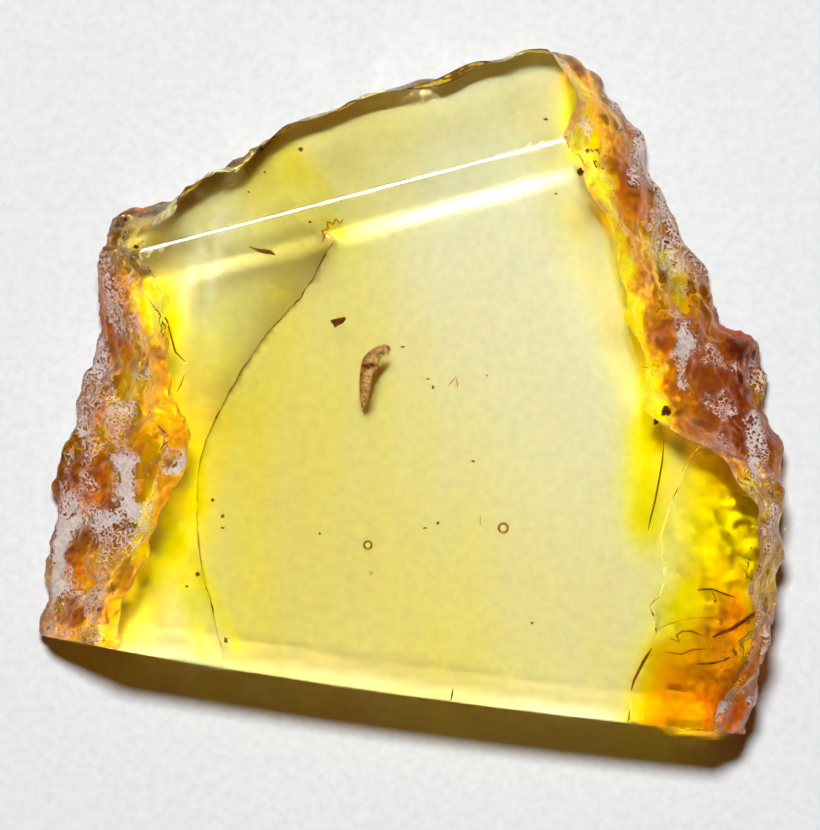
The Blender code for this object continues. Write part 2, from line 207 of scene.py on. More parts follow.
# Where the rind is calm, and its lumps are low.
RIND_CALM = (
    ((-4.6, 10.9), (6.2, 13.9), 2.4, 1.30),
    ((10.5, -2.5), (12.2, -7.6), 3.0, 0.75),
    ((10.5, -9.5), (11.2, -13.5), 2.6, 0.45),
    ((7.4, 13.0), (11.4, 5.4), 1.5, 0.45),
    ((14.4, -1.5), (15.0, -8.0), 1.4, 0.55),
    ((9.80, -0.55), (9.74, -1.40), 0.9, 1.0),
)
# Where the rind is worn so thin that the clear amber shows.
WORN_SPOTS = (
    ((9.78, -0.70), (9.70, -1.40), 0.78, 1.6),
)
# Deeper yellow inside, as place and strength from left to right: at the back, in the middle and at the front.
# The levels say how far back these three rows lie.
YELLOW_BACK = (
    (-9.0, 0.32), (-7.4, 0.34), (-6.2, 0.42), (-5.0, 0.52), (-2.6, 0.45), (-1.4, 0.32),
    (0.0, 0.12), (1.2, 0.03), (9.0, 0.0),
)
YELLOW_MIDDLE = (
    (-9.0, 0.85), (-7.4, 0.85), (-6.2, 0.82), (-5.0, 0.62), (-3.8, 0.60), (-2.6, 0.47),
    (-1.3, 0.46), (0.0, 0.37), (1.2, 0.26), (3.5, 0.12), (9.0, 0.05),
)
YELLOW_FRONT = (
    (-9.0, 0.28), (-7.6, 0.48), (-6.2, 0.62), (-5.0, 0.50), (-3.8, 0.52), (-0.1, 0.52),
    (2.2, 0.58), (3.5, 0.43), (5.0, 0.33), (9.0, 0.30),
)
YELLOW_LEVELS = (5.0, -1.0, -10.5)
# Soft lines of deeper yellow; those of negative strength marked below paint paler light.
YELLOW_AND_LIGHT_LINES = (
    ((-5.2, 9.2), (-6.2, 8.0), 1.5, 0.40),
    ((-4.6, 8.6), (-3.5, 8.0), 1.0, 0.40),
    ((-5.0, 10.4), (-2.8, 8.0), 0.32, -0.55),
    # Painted reflection: a paler streak of light reflected inside the amber.
    ((-7.2, 8.3), (-8.0, 6.7), 0.35, -0.30),
    ((-0.5, 10.4), (5.0, 11.8), 2.0, 0.26),
    ((-10.4, 5.6), None, 1.0, 0.35),
    # Painted reflection: two paler streaks of light reflected inside the amber.
    ((-8.6, 5.8), (-9.6, 2.9), 0.45, -0.45),
    ((-7.6, 6.4), (-8.7, 2.9), 0.45, -0.45),
    ((-4.6, 5.6), (-5.6, 3.6), 0.9, 0.25),
    ((-9.6, -7.4), (-8.2, -9.9), 0.9, -0.16),
    # Painted light: paler yellow along the front edge for the bright line of light that the sawn front
    # reflects back.
    ((-13.0, -10.1), (8.0, -13.05), 0.60, -0.38),
)
# Painted glow: bright saturated yellow beside the rind and along the bright streaks at the lower left,
# standing in for light that the rind and the sloping underside gather into the clear amber.
PAINTED_GLOW_LINES = (
    ((-10.2, 4.1), (-9.9, 3.0), 1.0, 1.0),
    ((-10.1, 2.4), (-9.7, -1.6), 1.0, 0.75),
    ((-8.8, -2.0), (-8.9, -4.6), 0.8, 0.85),
    ((-9.0, -4.6), (-10.6, -7.4), 0.9, 0.90),
    ((-10.0, -4.3), (-8.6, -10.4), 0.45, 0.80),
    ((-9.3, -5.9), (-7.0, -10.4), 0.42, 0.70),
    ((-3.4, 6.9), (-2.95, 6.4), 0.55, 0.75),
    ((-11.0, -7.6), (-11.4, -9.6), 1.0, 0.50),
    ((6.45, 13.5), (6.6, 9.9), 0.75, 0.95),
    ((6.8, 9.9), (8.15, 6.8), 0.55, 1.0),
    ((8.15, 6.8), (9.05, 2.5), 0.60, 1.0),
    ((9.05, 2.5), (9.75, -1.9), 0.70, 1.0),
    ((9.35, -1.5), (9.30, -5.2), 1.4, 0.95),
    ((12.0, -3.0), (12.2, -7.6), 2.8, 1.0),
    ((11.0, -9.0), (10.9, -13.4), 2.2, 1.0),
    ((9.7, -10.9), (9.2, -13.4), 1.5, 0.80),
)
# Orange that shows through from the undercut rind.
ORANGE_LINES = (
    ((10.30, -10.90), (9.90, -13.20), 1.5, 0.80),
    ((12.00, -10.20), (11.80, -13.20), 1.8, 0.60),
    ((13.20, -7.60), (13.00, -9.40), 1.0, 0.35),
)
# Painted shade in the clear amber, brownish: darker places where less light reaches, such as the band inside
# the back wall, the bevel, the strip along the front edge, the flake scar and places beside the rind. Lines
# of negative strength take painted shade away again.
PAINTED_SHADE_LINES = (
    ((-3.9, 6.0), (-10.4, 4.4), 1.3, 0.60),
    ((-10.4, 5.6), None, 1.0, 0.40),
    ((-9.9, 6.9), (-6.4, 8.9), 1.5, 0.24),
    ((-10.8, 7.1), (-6.0, 10.1), 0.8, 0.34),
    ((-7.5, 8.0), (-3.0, 9.4), 1.7, 0.14),
    ((-3.0, 9.3), (6.0, 11.6), 1.5, 0.13),
    ((-14.6, -9.35), (9.0, -12.65), 0.85, 0.58),
    ((5.6, 9.6), (6.8, 7.2), 1.4, 0.26),
    ((5.2, 8.0), (6.2, 6.4), 1.2, 0.12),
    ((6.9, 7.2), (8.3, 2.5), 1.3, 0.24),
    ((8.3, 2.5), (8.9, -1.5), 1.2, 0.19),
    ((4.4, 11.6), (6.2, 12.9), 1.3, 0.16),
    ((-5.0, 4.4), (-8.0, -1.0), 2.0, 0.05),
    ((-8.7, 3.2), (-9.3, -1.6), 1.0, 0.24),
    ((-11.0, -6.6), (-10.6, -8.8), 0.9, 0.38),
    ((-9.9, 6.0), (-7.6, 5.9), 0.6, 0.26),
    ((-3.4, 6.9), (-2.95, 6.4), 0.55, 0.22),
    # Painted reflection: these three lines take shade away for paler streaks of light reflected inside the
    # amber.
    ((-8.6, 5.8), (-9.6, 2.9), 0.40, -0.36),
    ((-7.6, 6.4), (-8.7, 2.9), 0.40, -0.36),
    ((-7.2, 8.3), (-8.0, 6.7), 0.35, -0.30),
    # Painted light: these two lines take shade away along the bright streaks of gathered light at the lower
    # left.
    ((-10.0, -4.3), (-8.6, -10.4), 0.40, -0.20),
    ((-9.3, -5.9), (-7.0, -10.4), 0.40, -0.20),
)
# Scuffed places on the polish.
SCUFFS = (
    ((-10.9, 5.8), (-10.0, 6.05), 0.9, 0.20),
    ((-10.3, 5.6), (-8.0, 6.0), 0.8, 0.12),
    ((-10.6, 5.2), (-9.0, 5.0), 0.9, 0.12),
    ((3.2, 9.52), (4.5, 9.85), 0.35, 0.30),
    ((5.0, 10.0), (6.8, 10.5), 0.7, 0.30),
)
# How much chalky bloom lies on the rind.
CHALK_COVER = (
    ((-11.62, -2.75), (-11.35, -4.50), 0.64, 1.1),
    ((-14.10, -5.50), (-14.40, -7.90), 0.66, 0.9),
    ((-13.35, -6.55), None, 0.8, -0.55),
    ((-12.67, 1.74), (-12.26, -0.40), 1.1, 0.42),
    ((-12.30, 5.40), (-13.40, -8.60), 1.7, 0.12),
    ((-13.30, -0.70), (-13.00, -1.90), 0.8, 0.30),
    ((-12.20, -5.10), (-10.90, -4.60), 0.7, 0.38),
    ((-13.00, -7.60), (-12.80, -9.20), 0.7, 0.08),
    ((-12.26, -4.93), (-13.88, -4.93), 1.0, 0.40),
    ((-10.81, 0.73), None, 0.5, 0.7),
    ((-9.85, -3.05), (-9.35, -2.80), 0.28, 0.9),
    ((8.40, 12.20), (9.50, 9.60), 0.8, 0.52),
    ((9.50, 9.60), (11.17, 5.58), 1.0, 0.46),
    ((14.25, -3.60), (14.45, -7.00), 0.30, -0.30),
    ((11.02, 2.60), (10.62, 0.45), 0.50, 0.85),
    ((12.99, 2.14), (12.38, -0.28), 1.6, 0.16),
    ((13.72, -1.01), (13.84, -3.11), 0.5, 0.85),
    ((14.36, -4.32), (14.40, -5.53), 0.3, 0.8),
    ((13.27, -9.53), (13.59, -9.25), 0.45, 1.0),
    ((11.74, -13.05), (12.46, -12.65), 0.5, 1.0),
    ((14.45, -9.20), (13.50, -13.60), 0.3, 0.6),
    ((6.90, 10.80), (7.20, 10.20), 0.35, 0.70),
    ((-10.65, 3.76), (-11.05, 2.95), 0.6, 0.3),
    ((6.90, 12.60), (8.10, 7.80), 1.2, -0.45),
    ((8.10, 7.80), (9.90, -0.60), 1.4, -0.75),
    ((11.60, -1.10), None, 1.0, -0.35),
    ((-10.0, 4.6), (-10.0, -1.5), 1.1, -0.50),
    ((-8.6, 9.0), (-3.0, 12.0), 2.0, -0.70),
    ((-3.0, 12.0), (6.4, 14.0), 2.0, -0.70),
    ((-11.8, 7.2), (-10.4, 7.2), 1.4, -0.40),
    ((14.8, -4.5), (15.2, -8.0), 0.9, -0.40),
)


# Helpers that stand for the ordinary steps of modelling by hand.


def within_one(value):
    """The value, kept between 0 and 1."""
    return max(0.0, min(1.0, value))


def eased(share):
    """A share from 0 to 1 that starts and ends gently."""
    return share * share * (3.0 - 2.0 * share)


def leave_edit_mode():
    """Goes back to object mode from wherever the last step ended."""
    if bpy.context.object and bpy.context.object.mode != "OBJECT":
        bpy.ops.object.mode_set(mode="OBJECT")


def pick_only(*objects):
    """Selects these objects and nothing else, the first one active."""
    leave_edit_mode()
    bpy.ops.object.select_all(action="DESELECT")
    for each in objects:
        each.select_set(True)
    bpy.context.view_layer.objects.active = objects[0]


def select_faces(piece, wanted):
    """Selects the faces that the test wants, in edit mode, and returns how many there are."""
    pick_only(piece)
    bpy.ops.object.mode_set(mode="EDIT")
    bpy.ops.mesh.select_mode(type="FACE")
    bpy.ops.mesh.select_all(action="DESELECT")
    bpy.ops.object.mode_set(mode="OBJECT")
    count = 0
    for face in piece.data.polygons:
        face.select = bool(wanted(face))
        count += face.select
    bpy.ops.object.mode_set(mode="EDIT")
    return count


def merged_copy(node, name):
    """A copy of a solid of the frame as one joined mesh."""
    piece = bpy.data.objects.new(name, frame["nodes"][node].data.copy())
    piece.data.name = name
    piece.data.materials.clear()
    bpy.context.scene.collection.objects.link(piece)
    pick_only(piece)
    bpy.ops.object.mode_set(mode="EDIT")
    bpy.ops.mesh.select_all(action="SELECT")
    bpy.ops.mesh.remove_doubles(threshold=0.00002 * MM)
    bpy.ops.object.mode_set(mode="OBJECT")
    if piece.data.has_custom_normals:
        bpy.ops.mesh.customdata_custom_splitnormals_clear()
    return piece


def apply_modifier(piece, kind, **settings):
    """Adds a modifier to a piece and applies it."""
    pick_only(piece)
    step = piece.modifiers.new(kind.lower(), kind)
    for key, value in settings.items():
        setattr(step, key, value)
    bpy.ops.object.modifier_apply(modifier=step.name)


def drop_maps(piece):
    """Takes the UV maps off a piece, because nothing reads them."""
    for name in [name for name in piece.data.attributes.keys() if name.startswith("UV")]:
        piece.data.attributes.remove(piece.data.attributes[name])


# Helpers for the materials.


def new_material(name):
    """A new material with the usual surface shader."""
    material = bpy.data.materials.new(name)
    material.use_nodes = True
    return material


def add_node(tree, kind, **inputs):
    """Adds a node with these inputs, whose names have _ for a space."""
    node = tree.nodes.new(kind)
    for key, value in inputs.items():
        node.inputs[key.replace("_", " ")].default_value = value
    return node


def math_node(tree, operation, first, second):
    """Adds a Math node. A value or a socket may stand for each side."""
    node = tree.nodes.new("ShaderNodeMath")
    node.operation = operation
    for number, side in enumerate((first, second)):
        if isinstance(side, (int, float)):
            node.inputs[number].default_value = side
        else:
            tree.links.new(side, node.inputs[number])
    return node.outputs[0]


def colour_ramp(tree, source, stops):
    """Colours from a value, by stops of position and colour."""
    ramp = tree.nodes.new("ShaderNodeValToRGB")
    while len(ramp.color_ramp.elements) < len(stops):
        ramp.color_ramp.elements.new(0.5)
    for element, (position, colour) in zip(ramp.color_ramp.elements, stops):
        element.position = position
        element.color = (*colour, 1)
    tree.links.new(source, ramp.inputs["Fac"])
    return ramp.outputs["Color"]


def painted(tree, name):
    """A number that is painted on the points of the piece."""
    node = tree.nodes.new("ShaderNodeAttribute")
    node.attribute_name = name
    return node.outputs["Fac"]


def noise_value(tree, point, scale, detail=2.0, roughness=0.5):
    """Cloudy noise at a point, with this many lumps to the metre."""
    node = add_node(tree, "ShaderNodeTexNoise", Scale=scale, Detail=detail, Roughness=roughness)
    tree.links.new(point, node.inputs["Vector"])
    return node.outputs["Fac"]


def mix_colour(tree, factor, first, second):
    """Mixes two colours. A value, a colour or a socket may stand for each side."""
    mix = tree.nodes.new("ShaderNodeMix")
    mix.data_type = "RGBA"
    for socket, side in ((mix.inputs[0], factor), (mix.inputs[6], first), (mix.inputs[7], second)):
        if isinstance(side, (int, float)):
            socket.default_value = side
        elif isinstance(side, tuple):
            socket.default_value = (*side, 1)
        else:
            tree.links.new(side, socket)
    return mix.outputs[2]


def map_range(tree, source, from_min, from_max, to_min=0.0, to_max=1.0, smooth=True):
    """Moves a value from one range to another, gently unless smooth is off."""
    node = tree.nodes.new("ShaderNodeMapRange")
    if smooth:
        node.interpolation_type = "SMOOTHSTEP"
    tree.links.new(source, node.inputs["Value"])
    node.inputs["From Min"].default_value = from_min
    node.inputs["From Max"].default_value = from_max
    node.inputs["To Min"].default_value = to_min
    node.inputs["To Max"].default_value = to_max
    return node.outputs["Result"]


# Which face of the lump is which.


def ridge_frame():
    """Directions along the ridge, level and square to it towards the back, and straight out of the bevel."""
    along = (RIDGE_RIGHT - RIDGE_LEFT).normalized()
    outward = Vector((-along.y, along.x, 0.0))
    slope = outward * math.sin(BEVEL_SLOPE) + Vector((0, 0, math.cos(BEVEL_SLOPE)))
    return along, outward, slope


def front_outward():
    """Direction straight out of the sawn front."""
    along = (FRONT_RIGHT - FRONT_LEFT).normalized()
    return Vector((along.y, -along.x, 0.0))


def is_top(face):
    """Whether a face is part of the flat top."""
    return face.normal.z > 0.9999 and face.center.z > (TOP_LEVEL - 0.01) * MM


def is_base(face):
    """Whether a face is part of the flat underside."""
    return face.normal.z < -0.9999 and face.center.z < 0.01 * MM


def is_bevel(face):
    """Whether a face is part of the bevel along the back."""
    slope = ridge_frame()[2]
    offset = (face.center - RIDGE_LEFT * MM).dot(slope)
    return face.normal.dot(slope) > 0.9995 and abs(offset) < 0.01 * MM


def is_front(face):
    """Whether a face is part of the sawn front edge."""
    outward = front_outward()
    offset = (face.center - FRONT_LEFT * MM).dot(outward)
    return face.normal.dot(outward) > 0.99 and abs(face.normal.z) < 0.01 and offset > -0.02 * MM


def is_scar(face):
    """Whether a face is part of the flake scar: its nearly level floor, or its steep edge."""
    place = face.center / MM
    if not (0.0 <= place.z < SCAR_TOP_LEVEL and place.x < SCAR_RIGHT) or is_base(face):
        return False
    if face.normal.z < -0.86:
        return True
    near_edge = distance_to_path(place.xy, SCAR_EDGE)[0] < SCAR_EDGE_REACH
    return face.normal.z < -0.1 and place.x > SCAR_EDGE_LEFT and near_edge


def is_polished(face):
    """Whether a face is one of the flat, polished ones."""
    return is_top(face) or is_base(face) or is_bevel(face) or is_front(face)


class LumpSettings(bpy.types.PropertyGroup):
    ridge_width: bpy.props.FloatProperty(
        name="Ridge width",
        description="Width of the rounding where the bevel meets the top",
        default=0.4 * MM,
        unit="LENGTH",
    )
    refraction: bpy.props.FloatProperty(
        name="Refraction", description="How strongly the amber bends light", default=1.54
    )
    absorption_colour: bpy.props.FloatVectorProperty(
        name="Amber colour",
        description="Colour that light keeps on its way through the clear amber",
        subtype="COLOR",
        size=3,
        default=(0.990, 0.995, 0.71),
    )
    absorption_density: bpy.props.FloatProperty(
        name="Depth of colour",
        description="How quickly the amber takes its colour up, per metre",
        default=180.0,
    )
    rind_relief: bpy.props.FloatProperty(
        name="Rind relief", description="How strongly the lumps and pits of the rind stand out", default=1.0
    )
    scar_waves: bpy.props.FloatProperty(
        name="Scar waves", description="Strength of the faint waves in the flake scar below", default=1.0
    )
    rind_softening: bpy.props.IntProperty(
        name="Rind softening", description="How many times the facets of the rind are smoothed", default=4
    )
    calm_softening: bpy.props.IntProperty(
        name="Calm softening",
        description="How many more times the calm parts of the rind are smoothed",
        default=50,
    )


def pocket_space(name):
    """The corners of the space whose faces belong to the pocket of a sealed piece."""
    low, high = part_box(name)
    return low - POCKET_SPARE * MM, high + POCKET_SPARE * MM


def gather_lump():
    """Joins both halves of the solid and closes the gap between them."""
    lower = merged_copy("amber_lower", "amber")
    upper = merged_copy("amber_upper", "amber_top")
    pockets = [pocket_space(name) for name in SEALED]
    for piece, level in ((lower, LOWER_RIM_LEVEL), (upper, UPPER_RIM_LEVEL)):

        def inside(face):
            parting = abs(face.normal.z) > 0.999 and abs(face.center.z - level * MM) < 0.02 * MM
            pocket = any(all(low[i] < face.center[i] < high[i] for i in range(3)) for low, high in pockets)
            between = POCKET_FLOOR * MM < face.center.z < POCKET_CEILING * MM
            return parting or (pocket and between and not is_bevel(face))

        select_faces(piece, inside)
        bpy.ops.mesh.delete(type="FACE")
    pick_only(lower, upper)
    bpy.ops.object.join()
    bpy.ops.object.mode_set(mode="EDIT")
    bpy.ops.mesh.select_mode(type="EDGE")
    bpy.ops.mesh.select_all(action="DESELECT")
    bpy.ops.mesh.select_non_manifold(
        extend=False, use_wire=False, use_multi_face=False, use_non_contiguous=False, use_verts=False
    )
    bpy.ops.mesh.bridge_edge_loops()
    for test in (is_top, is_base, is_bevel):
        select_faces(lower, test)
        bpy.ops.mesh.dissolve_faces()
    bpy.ops.object.mode_set(mode="OBJECT")
    return lower


def grow_past_polish(lump):
    """Draws the rind out past the polished faces, so that it can be roughened before they are cut again."""
    select_faces(lump, lambda face: is_top(face) or is_bevel(face))
    bpy.ops.mesh.extrude_region_move(TRANSFORM_OT_translate={"value": (0, 0, SPARE * MM)})
    select_faces(lump, is_base)
    bpy.ops.mesh.extrude_region_move(TRANSFORM_OT_translate={"value": (0, 0, -SPARE * MM)})
    bpy.ops.object.mode_set(mode="OBJECT")


def raise_back_wall(lump):
    """Draws the upper edge of the back wall outwards, so that it stands upright up to the bevel."""
    outward, slope = ridge_frame()[1:]
    down_bevel = Vector((slope.z * outward.x, slope.z * outward.y, -math.sin(BEVEL_SLOPE)))
    for vertex in lump.data.vertices:
        place = vertex.co / MM
        if place.z < UPPER_RIM_LEVEL + 0.05 or (place - RIDGE_LEFT).dot(outward) < BACK_WALL_FROM_RIDGE:
            continue
        share = max(0.0, 1.0 - distance_to_path(place.xy, BACK_WALL)[0] / BACK_WALL_REACH)
        vertex.co += down_bevel * min(1.0, 2.0 * share) * BACK_WALL_LEAN * MM


def is_rind(face):
    """Whether a face is rind, while the drawn-out polish is still in one piece."""
    flat = abs(face.normal.z) > 0.9999 or face.normal.dot(ridge_frame()[2]) > 0.9999
    drawn_out = flat and face.area > WIDE_FACE * MM * MM
    return not (drawn_out or is_front(face) or is_scar(face))


def group_by_weight(lump, name, numbers, weight_at):
    """Puts points in a vertex group, each with its own weight in steps of a tenth."""
    steps = {}
    for number in numbers:
        steps.setdefault(round(10 * weight_at(lump.data.vertices[number].co)), []).append(number)
    group = lump.vertex_groups.new(name=name)
    for step, members in steps.items():
        group.add(members, 0.1 * step, "REPLACE")


def roughen_rind(lump, settings):
    """Divides the rind finely, softens its facets and raises its lumps, pits and cracks."""
    select_faces(lump, is_rind)
    bpy.ops.mesh.subdivide(number_cuts=FINE_CUTS, quadcorner="INNERVERT")
    bpy.ops.mesh.select_all(action="DESELECT")
    bpy.ops.object.mode_set(mode="OBJECT")
    fixed = set()
    free = set()
    for face in lump.data.polygons:
        (free if is_rind(face) else fixed).update(face.vertices)
    loose = sorted(free - fixed)

    def calm(co):
        return soft_amount(seen_from_above(co), RIND_CALM)

    group_by_weight(lump, "soft", loose, lambda co: 1.0)
    group_by_weight(lump, "rind", loose, lambda co: max(0.1, 1.0 - calm(co)))
    apply_modifier(lump, "SMOOTH", factor=0.5, iterations=settings.rind_softening, vertex_group="soft")
    group_by_weight(lump, "calm", loose, lambda co: min(1.0, calm(co)))
    apply_modifier(lump, "SMOOTH", factor=0.5, iterations=settings.calm_softening, vertex_group="calm")
    for number, (kind, size, height) in enumerate(RIND_RELIEF):
        texture = bpy.data.textures.new(f"rind_relief_{number}", kind)
        texture.noise_scale = size * MM
        if kind == "CLOUDS":
            texture.noise_basis = "BLENDER_ORIGINAL"
            texture.noise_depth = 2
        apply_modifier(lump, "DISPLACE", texture=texture, texture_coords="LOCAL", direction="NORMAL",
                       strength=height * MM * settings.rind_relief, mid_level=0.5, vertex_group="rind")


def seen_from_above(co, wander=0.0, size=1.0):
    """A point in millimetres seen from above, wandering a little so that edges are uneven."""
    shift = noise.noise_vector(co / (size * MM)) * wander if wander else Vector((0, 0, 0))
    return Vector((co.x / MM + shift.x, co.y / MM + shift.y))


def distance_to_path(point, path):
    """Level distance in millimetres from a point to a path, and how far along the path it is, from 0 to 1."""
    best = (1e9, 0.0)
    for number, (start, end) in enumerate(zip(path, path[1:])):
        a = Vector(start)
        b = Vector(end)
        share = within_one((point - a).dot(b - a) / (b - a).length_squared)
        gap = (point - a.lerp(b, share)).length
        if gap < best[0]:
            best = (gap, (number + share) / (len(path) - 1))
    return best


def soft_amount(point, lines):
    """Adds up soft lines and spots at a place, given in millimetres seen from above."""
    total = 0.0
    for start, end, reach, strength in lines:
        gap = distance_to_path(point, (start, end or (start[0] + 0.001, start[1])))[0]
        if gap < reach:
            share = 1.0 - gap / reach
            total += strength * share * share * (3.0 - 2.0 * share)
    return total


def cloudy(co, size, octaves=3, seed=0.0):
    """Cloud pattern from 0 to 1 with lumps of this size in millimetres."""
    return 0.5 + 0.5 * noise.fractal(co / (size * MM) + Vector((seed, 0, 0)), 0.9, 2.1, octaves)


def paint_values(piece, name, values):
    """Paints a number on every point of a piece, for its material to read."""
    layer = piece.data.attributes.new(name, "FLOAT", "POINT")
    layer.data.foreach_set("value", values)


def paint(piece, name, value_at):
    """Paints a number that depends on the place of each point."""
    paint_values(piece, name, [value_at(vertex.co) for vertex in piece.data.vertices])


def rind_depth_and_light(co):
    """How thick and dark the rind is at a point: yellow below 0.3, red-brown above 0.7, with its painted glow
    and glints.
    """
    return cloudy(co, 2.2, 4) + soft_amount(seen_from_above(co, 0.8, 1.1), RIND_DEPTH_AND_LIGHT)


def chalk_cover(co):
    """How much chalky bloom covers a point: flecks above 0.5, solid above 1."""
    return cloudy(co, 1.6, 3, seed=17.0) - 0.07 + soft_amount(seen_from_above(co, 0.5, 0.8), CHALK_COVER)


def read_stops(stops, place):
    """The value at a place between stops of place and value."""
    if place <= stops[0][0]:
        return stops[0][1]
    for (low, first), (high, second) in zip(stops, stops[1:]):
        if place <= high:
            share = (place - low) / (high - low)
            return first + (second - first) * share * share * (3.0 - 2.0 * share)
    return stops[-1][1]


def deep_yellow(co):
    """How much deeper the yellow is at a point of the polish, in bands that run from back to front, and paler
    where lines paint reflected light and the bright line along the front edge.
    """
    above = seen_from_above(co, 0.25, 1.6)
    back, middle, front = YELLOW_LEVELS
    if above.y > middle:
        share = min(1.0, (above.y - middle) / (back - middle))
        rows = (YELLOW_MIDDLE, YELLOW_BACK)
    else:
        share = min(1.0, (middle - above.y) / (middle - front))
        rows = (YELLOW_MIDDLE, YELLOW_FRONT)
    base = read_stops(rows[0], above.x) * (1.0 - share) + read_stops(rows[1], above.x) * share
    band = noise.noise(Vector((co.x / (0.9 * MM), co.y / (7.0 * MM), 0.0)))
    base *= 1.0 + 0.30 * band
    return within_one(base + soft_amount(above, YELLOW_AND_LIGHT_LINES))


def painted_glow_at(co):
    """How much painted glow, bright yellow for gathered light, lies at a point of the polish."""
    return within_one(soft_amount(seen_from_above(co, 0.2, 0.7), PAINTED_GLOW_LINES))


def orange_tinge(co):
    """How orange the clear amber is at a point of the polish, where rind lies beneath."""
    return within_one(soft_amount(seen_from_above(co, 0.45, 0.6), ORANGE_LINES))


def painted_shade_at(co):
    """How much painted shade darkens the clear amber at a point of the polish."""
    return within_one(soft_amount(seen_from_above(co, 0.3, 0.9), PAINTED_SHADE_LINES))


def scuffed(co):
    """How scuffed the polish is at a point: only the top and the ridge."""
    if co.z < (TOP_LEVEL - 0.4) * MM:
        return 0.0
    return within_one(soft_amount(seen_from_above(co, 0.3, 0.5), SCUFFS))


# What is painted on the clear amber, painted shade and glow among it, and the number at a point.
CLEAR_TINTS = (
    ("yellow", deep_yellow),
    ("painted_glow", painted_glow_at),
    ("orange", orange_tinge),
    ("painted_shade", painted_shade_at),
    ("scuff", scuffed),
)


def smooth_scar(lump, settings):
    """Divides the flake scar finely, smooths it and gives it the faint waves of a shell-shaped break."""
    select_faces(lump, is_scar)
    bpy.ops.mesh.subdivide(number_cuts=FINE_CUTS, quadcorner="INNERVERT")
    bpy.ops.object.mode_set(mode="OBJECT")
    fixed = set()
    free = set()
    for face in lump.data.polygons:
        (free if is_scar(face) else fixed).update(face.vertices)
    inner = sorted(free - fixed)
    group_by_weight(lump, "scar", inner, lambda co: 1.0)
    apply_modifier(lump, "SMOOTH", factor=0.5, iterations=SCAR_SMOOTHING, vertex_group="scar")
    for number in inner:
        point = lump.data.vertices[number]
        gap = distance_to_path(Vector((point.co.x, point.co.y)) / MM, SCAR_EDGE)[0]
        wander = noise.noise(Vector((point.co.x, point.co.y * 0.4, 0)) / (1.4 * MM))
        wave = math.cos(2 * math.pi * (gap + SCAR_WAVE_WANDER * wander) / SCAR_WAVE_SPACING)
        fade = min(1.0, gap / SCAR_WAVE_FADE)
        point.co.z += (wave - 1.0) * 0.5 * SCAR_WAVE_HEIGHT * MM * fade * settings.scar_waves
        point.co.z *= eased(within_one((SCAR_BACK - point.co.y / MM) / SCAR_RISE))
        point.co.z = min(point.co.z, gap * SCAR_STEEPNESS * MM)
        point.co.z = max(point.co.z, SCAR_LEAST * MM)


def polish(lump, settings):
    """Cuts the top, the bevel with its rounded ridge, and the underside flat again."""
    outward, slope = ridge_frame()[1:]
    top = RIDGE_LEFT * MM
    half = 0.5 * settings.ridge_width
    touch = top - outward * half
    centre = touch - Vector((0, 0, 1)) * half / math.tan(0.5 * BEVEL_SLOPE)
    radius = half / math.tan(0.5 * BEVEL_SLOPE)
    cuts = [(top, slope), (top, Vector((0, 0, 1))), (Vector((0, 0, 0)), Vector((0, 0, -1)))]
    for step in range(RIDGE_CUTS):
        turn = BEVEL_SLOPE * (step + 0.5) / RIDGE_CUTS
        normal = outward * math.sin(turn) + Vector((0, 0, math.cos(turn)))
        cuts.append((centre + normal * radius, normal))
    for place, normal in cuts:
        pick_only(lump)
        bpy.ops.object.mode_set(mode="EDIT")
        bpy.ops.mesh.select_all(action="SELECT")
        bpy.ops.mesh.bisect(
            plane_co=place, plane_no=normal, use_fill=True, clear_outer=True, threshold=CUT_JOIN * MM
        )
    bpy.ops.object.mode_set(mode="OBJECT")


def close_flaws(lump):
    """Draws each small tangle that the cuts left to a single point, so that the skin is closed."""
    pick_only(lump)
    bpy.ops.object.mode_set(mode="EDIT")
    for attempt in range(4):
        bpy.ops.mesh.select_mode(type="VERT")
        bpy.ops.mesh.select_all(action="DESELECT")
        bpy.ops.mesh.select_non_manifold(extend=False)
        bpy.ops.object.mode_set(mode="OBJECT")
        found = sum(1 for vertex in lump.data.vertices if vertex.select)
        bpy.ops.object.mode_set(mode="EDIT")
        if not found:
            break
        bpy.ops.mesh.merge(type="COLLAPSE")
        bpy.ops.mesh.select_all(action="SELECT")
        bpy.ops.mesh.dissolve_degenerate(threshold=0.0002 * MM)
    bpy.ops.object.mode_set(mode="OBJECT")


def is_plain_polish(face):
    """Whether a face is part of the top, the ridge, the bevel or the underside."""
    return is_ground(face) and not is_scar(face) and not is_front(face)


def score_polish(lump):
    """Divides the polished faces into small squares, so that colour can be painted on them."""
    select_faces(lump, is_plain_polish)
    bpy.ops.mesh.select_more()
    bpy.ops.mesh.separate(type="SELECTED")
    leave_edit_mode()
    sheet = next(each for each in bpy.context.selected_objects if each is not lump)
    select_faces(sheet, is_plain_polish)
    bpy.ops.mesh.hide(unselected=True)
    for across, reach in zip((Vector((1, 0, 0)), Vector((0, 1, 0))), SQUARE_REACH):
        steps = int(reach / SQUARE)
        for step in range(-steps, steps + 1):
            place = across * (step + 0.5) * SQUARE * MM
            bpy.ops.mesh.select_all(action="SELECT")
            bpy.ops.mesh.bisect(plane_co=place, plane_no=across, threshold=CUT_JOIN * MM)
    bpy.ops.mesh.reveal(select=False)
    pick_only(lump, sheet)
    bpy.ops.object.join()
    bpy.ops.object.mode_set(mode="EDIT")
    bpy.ops.mesh.select_mode(type="VERT")
    bpy.ops.mesh.select_all(action="DESELECT")
    bpy.ops.mesh.select_non_manifold(extend=False)
    bpy.ops.mesh.remove_doubles(threshold=0.00005 * MM)
    bpy.ops.object.mode_set(mode="OBJECT")


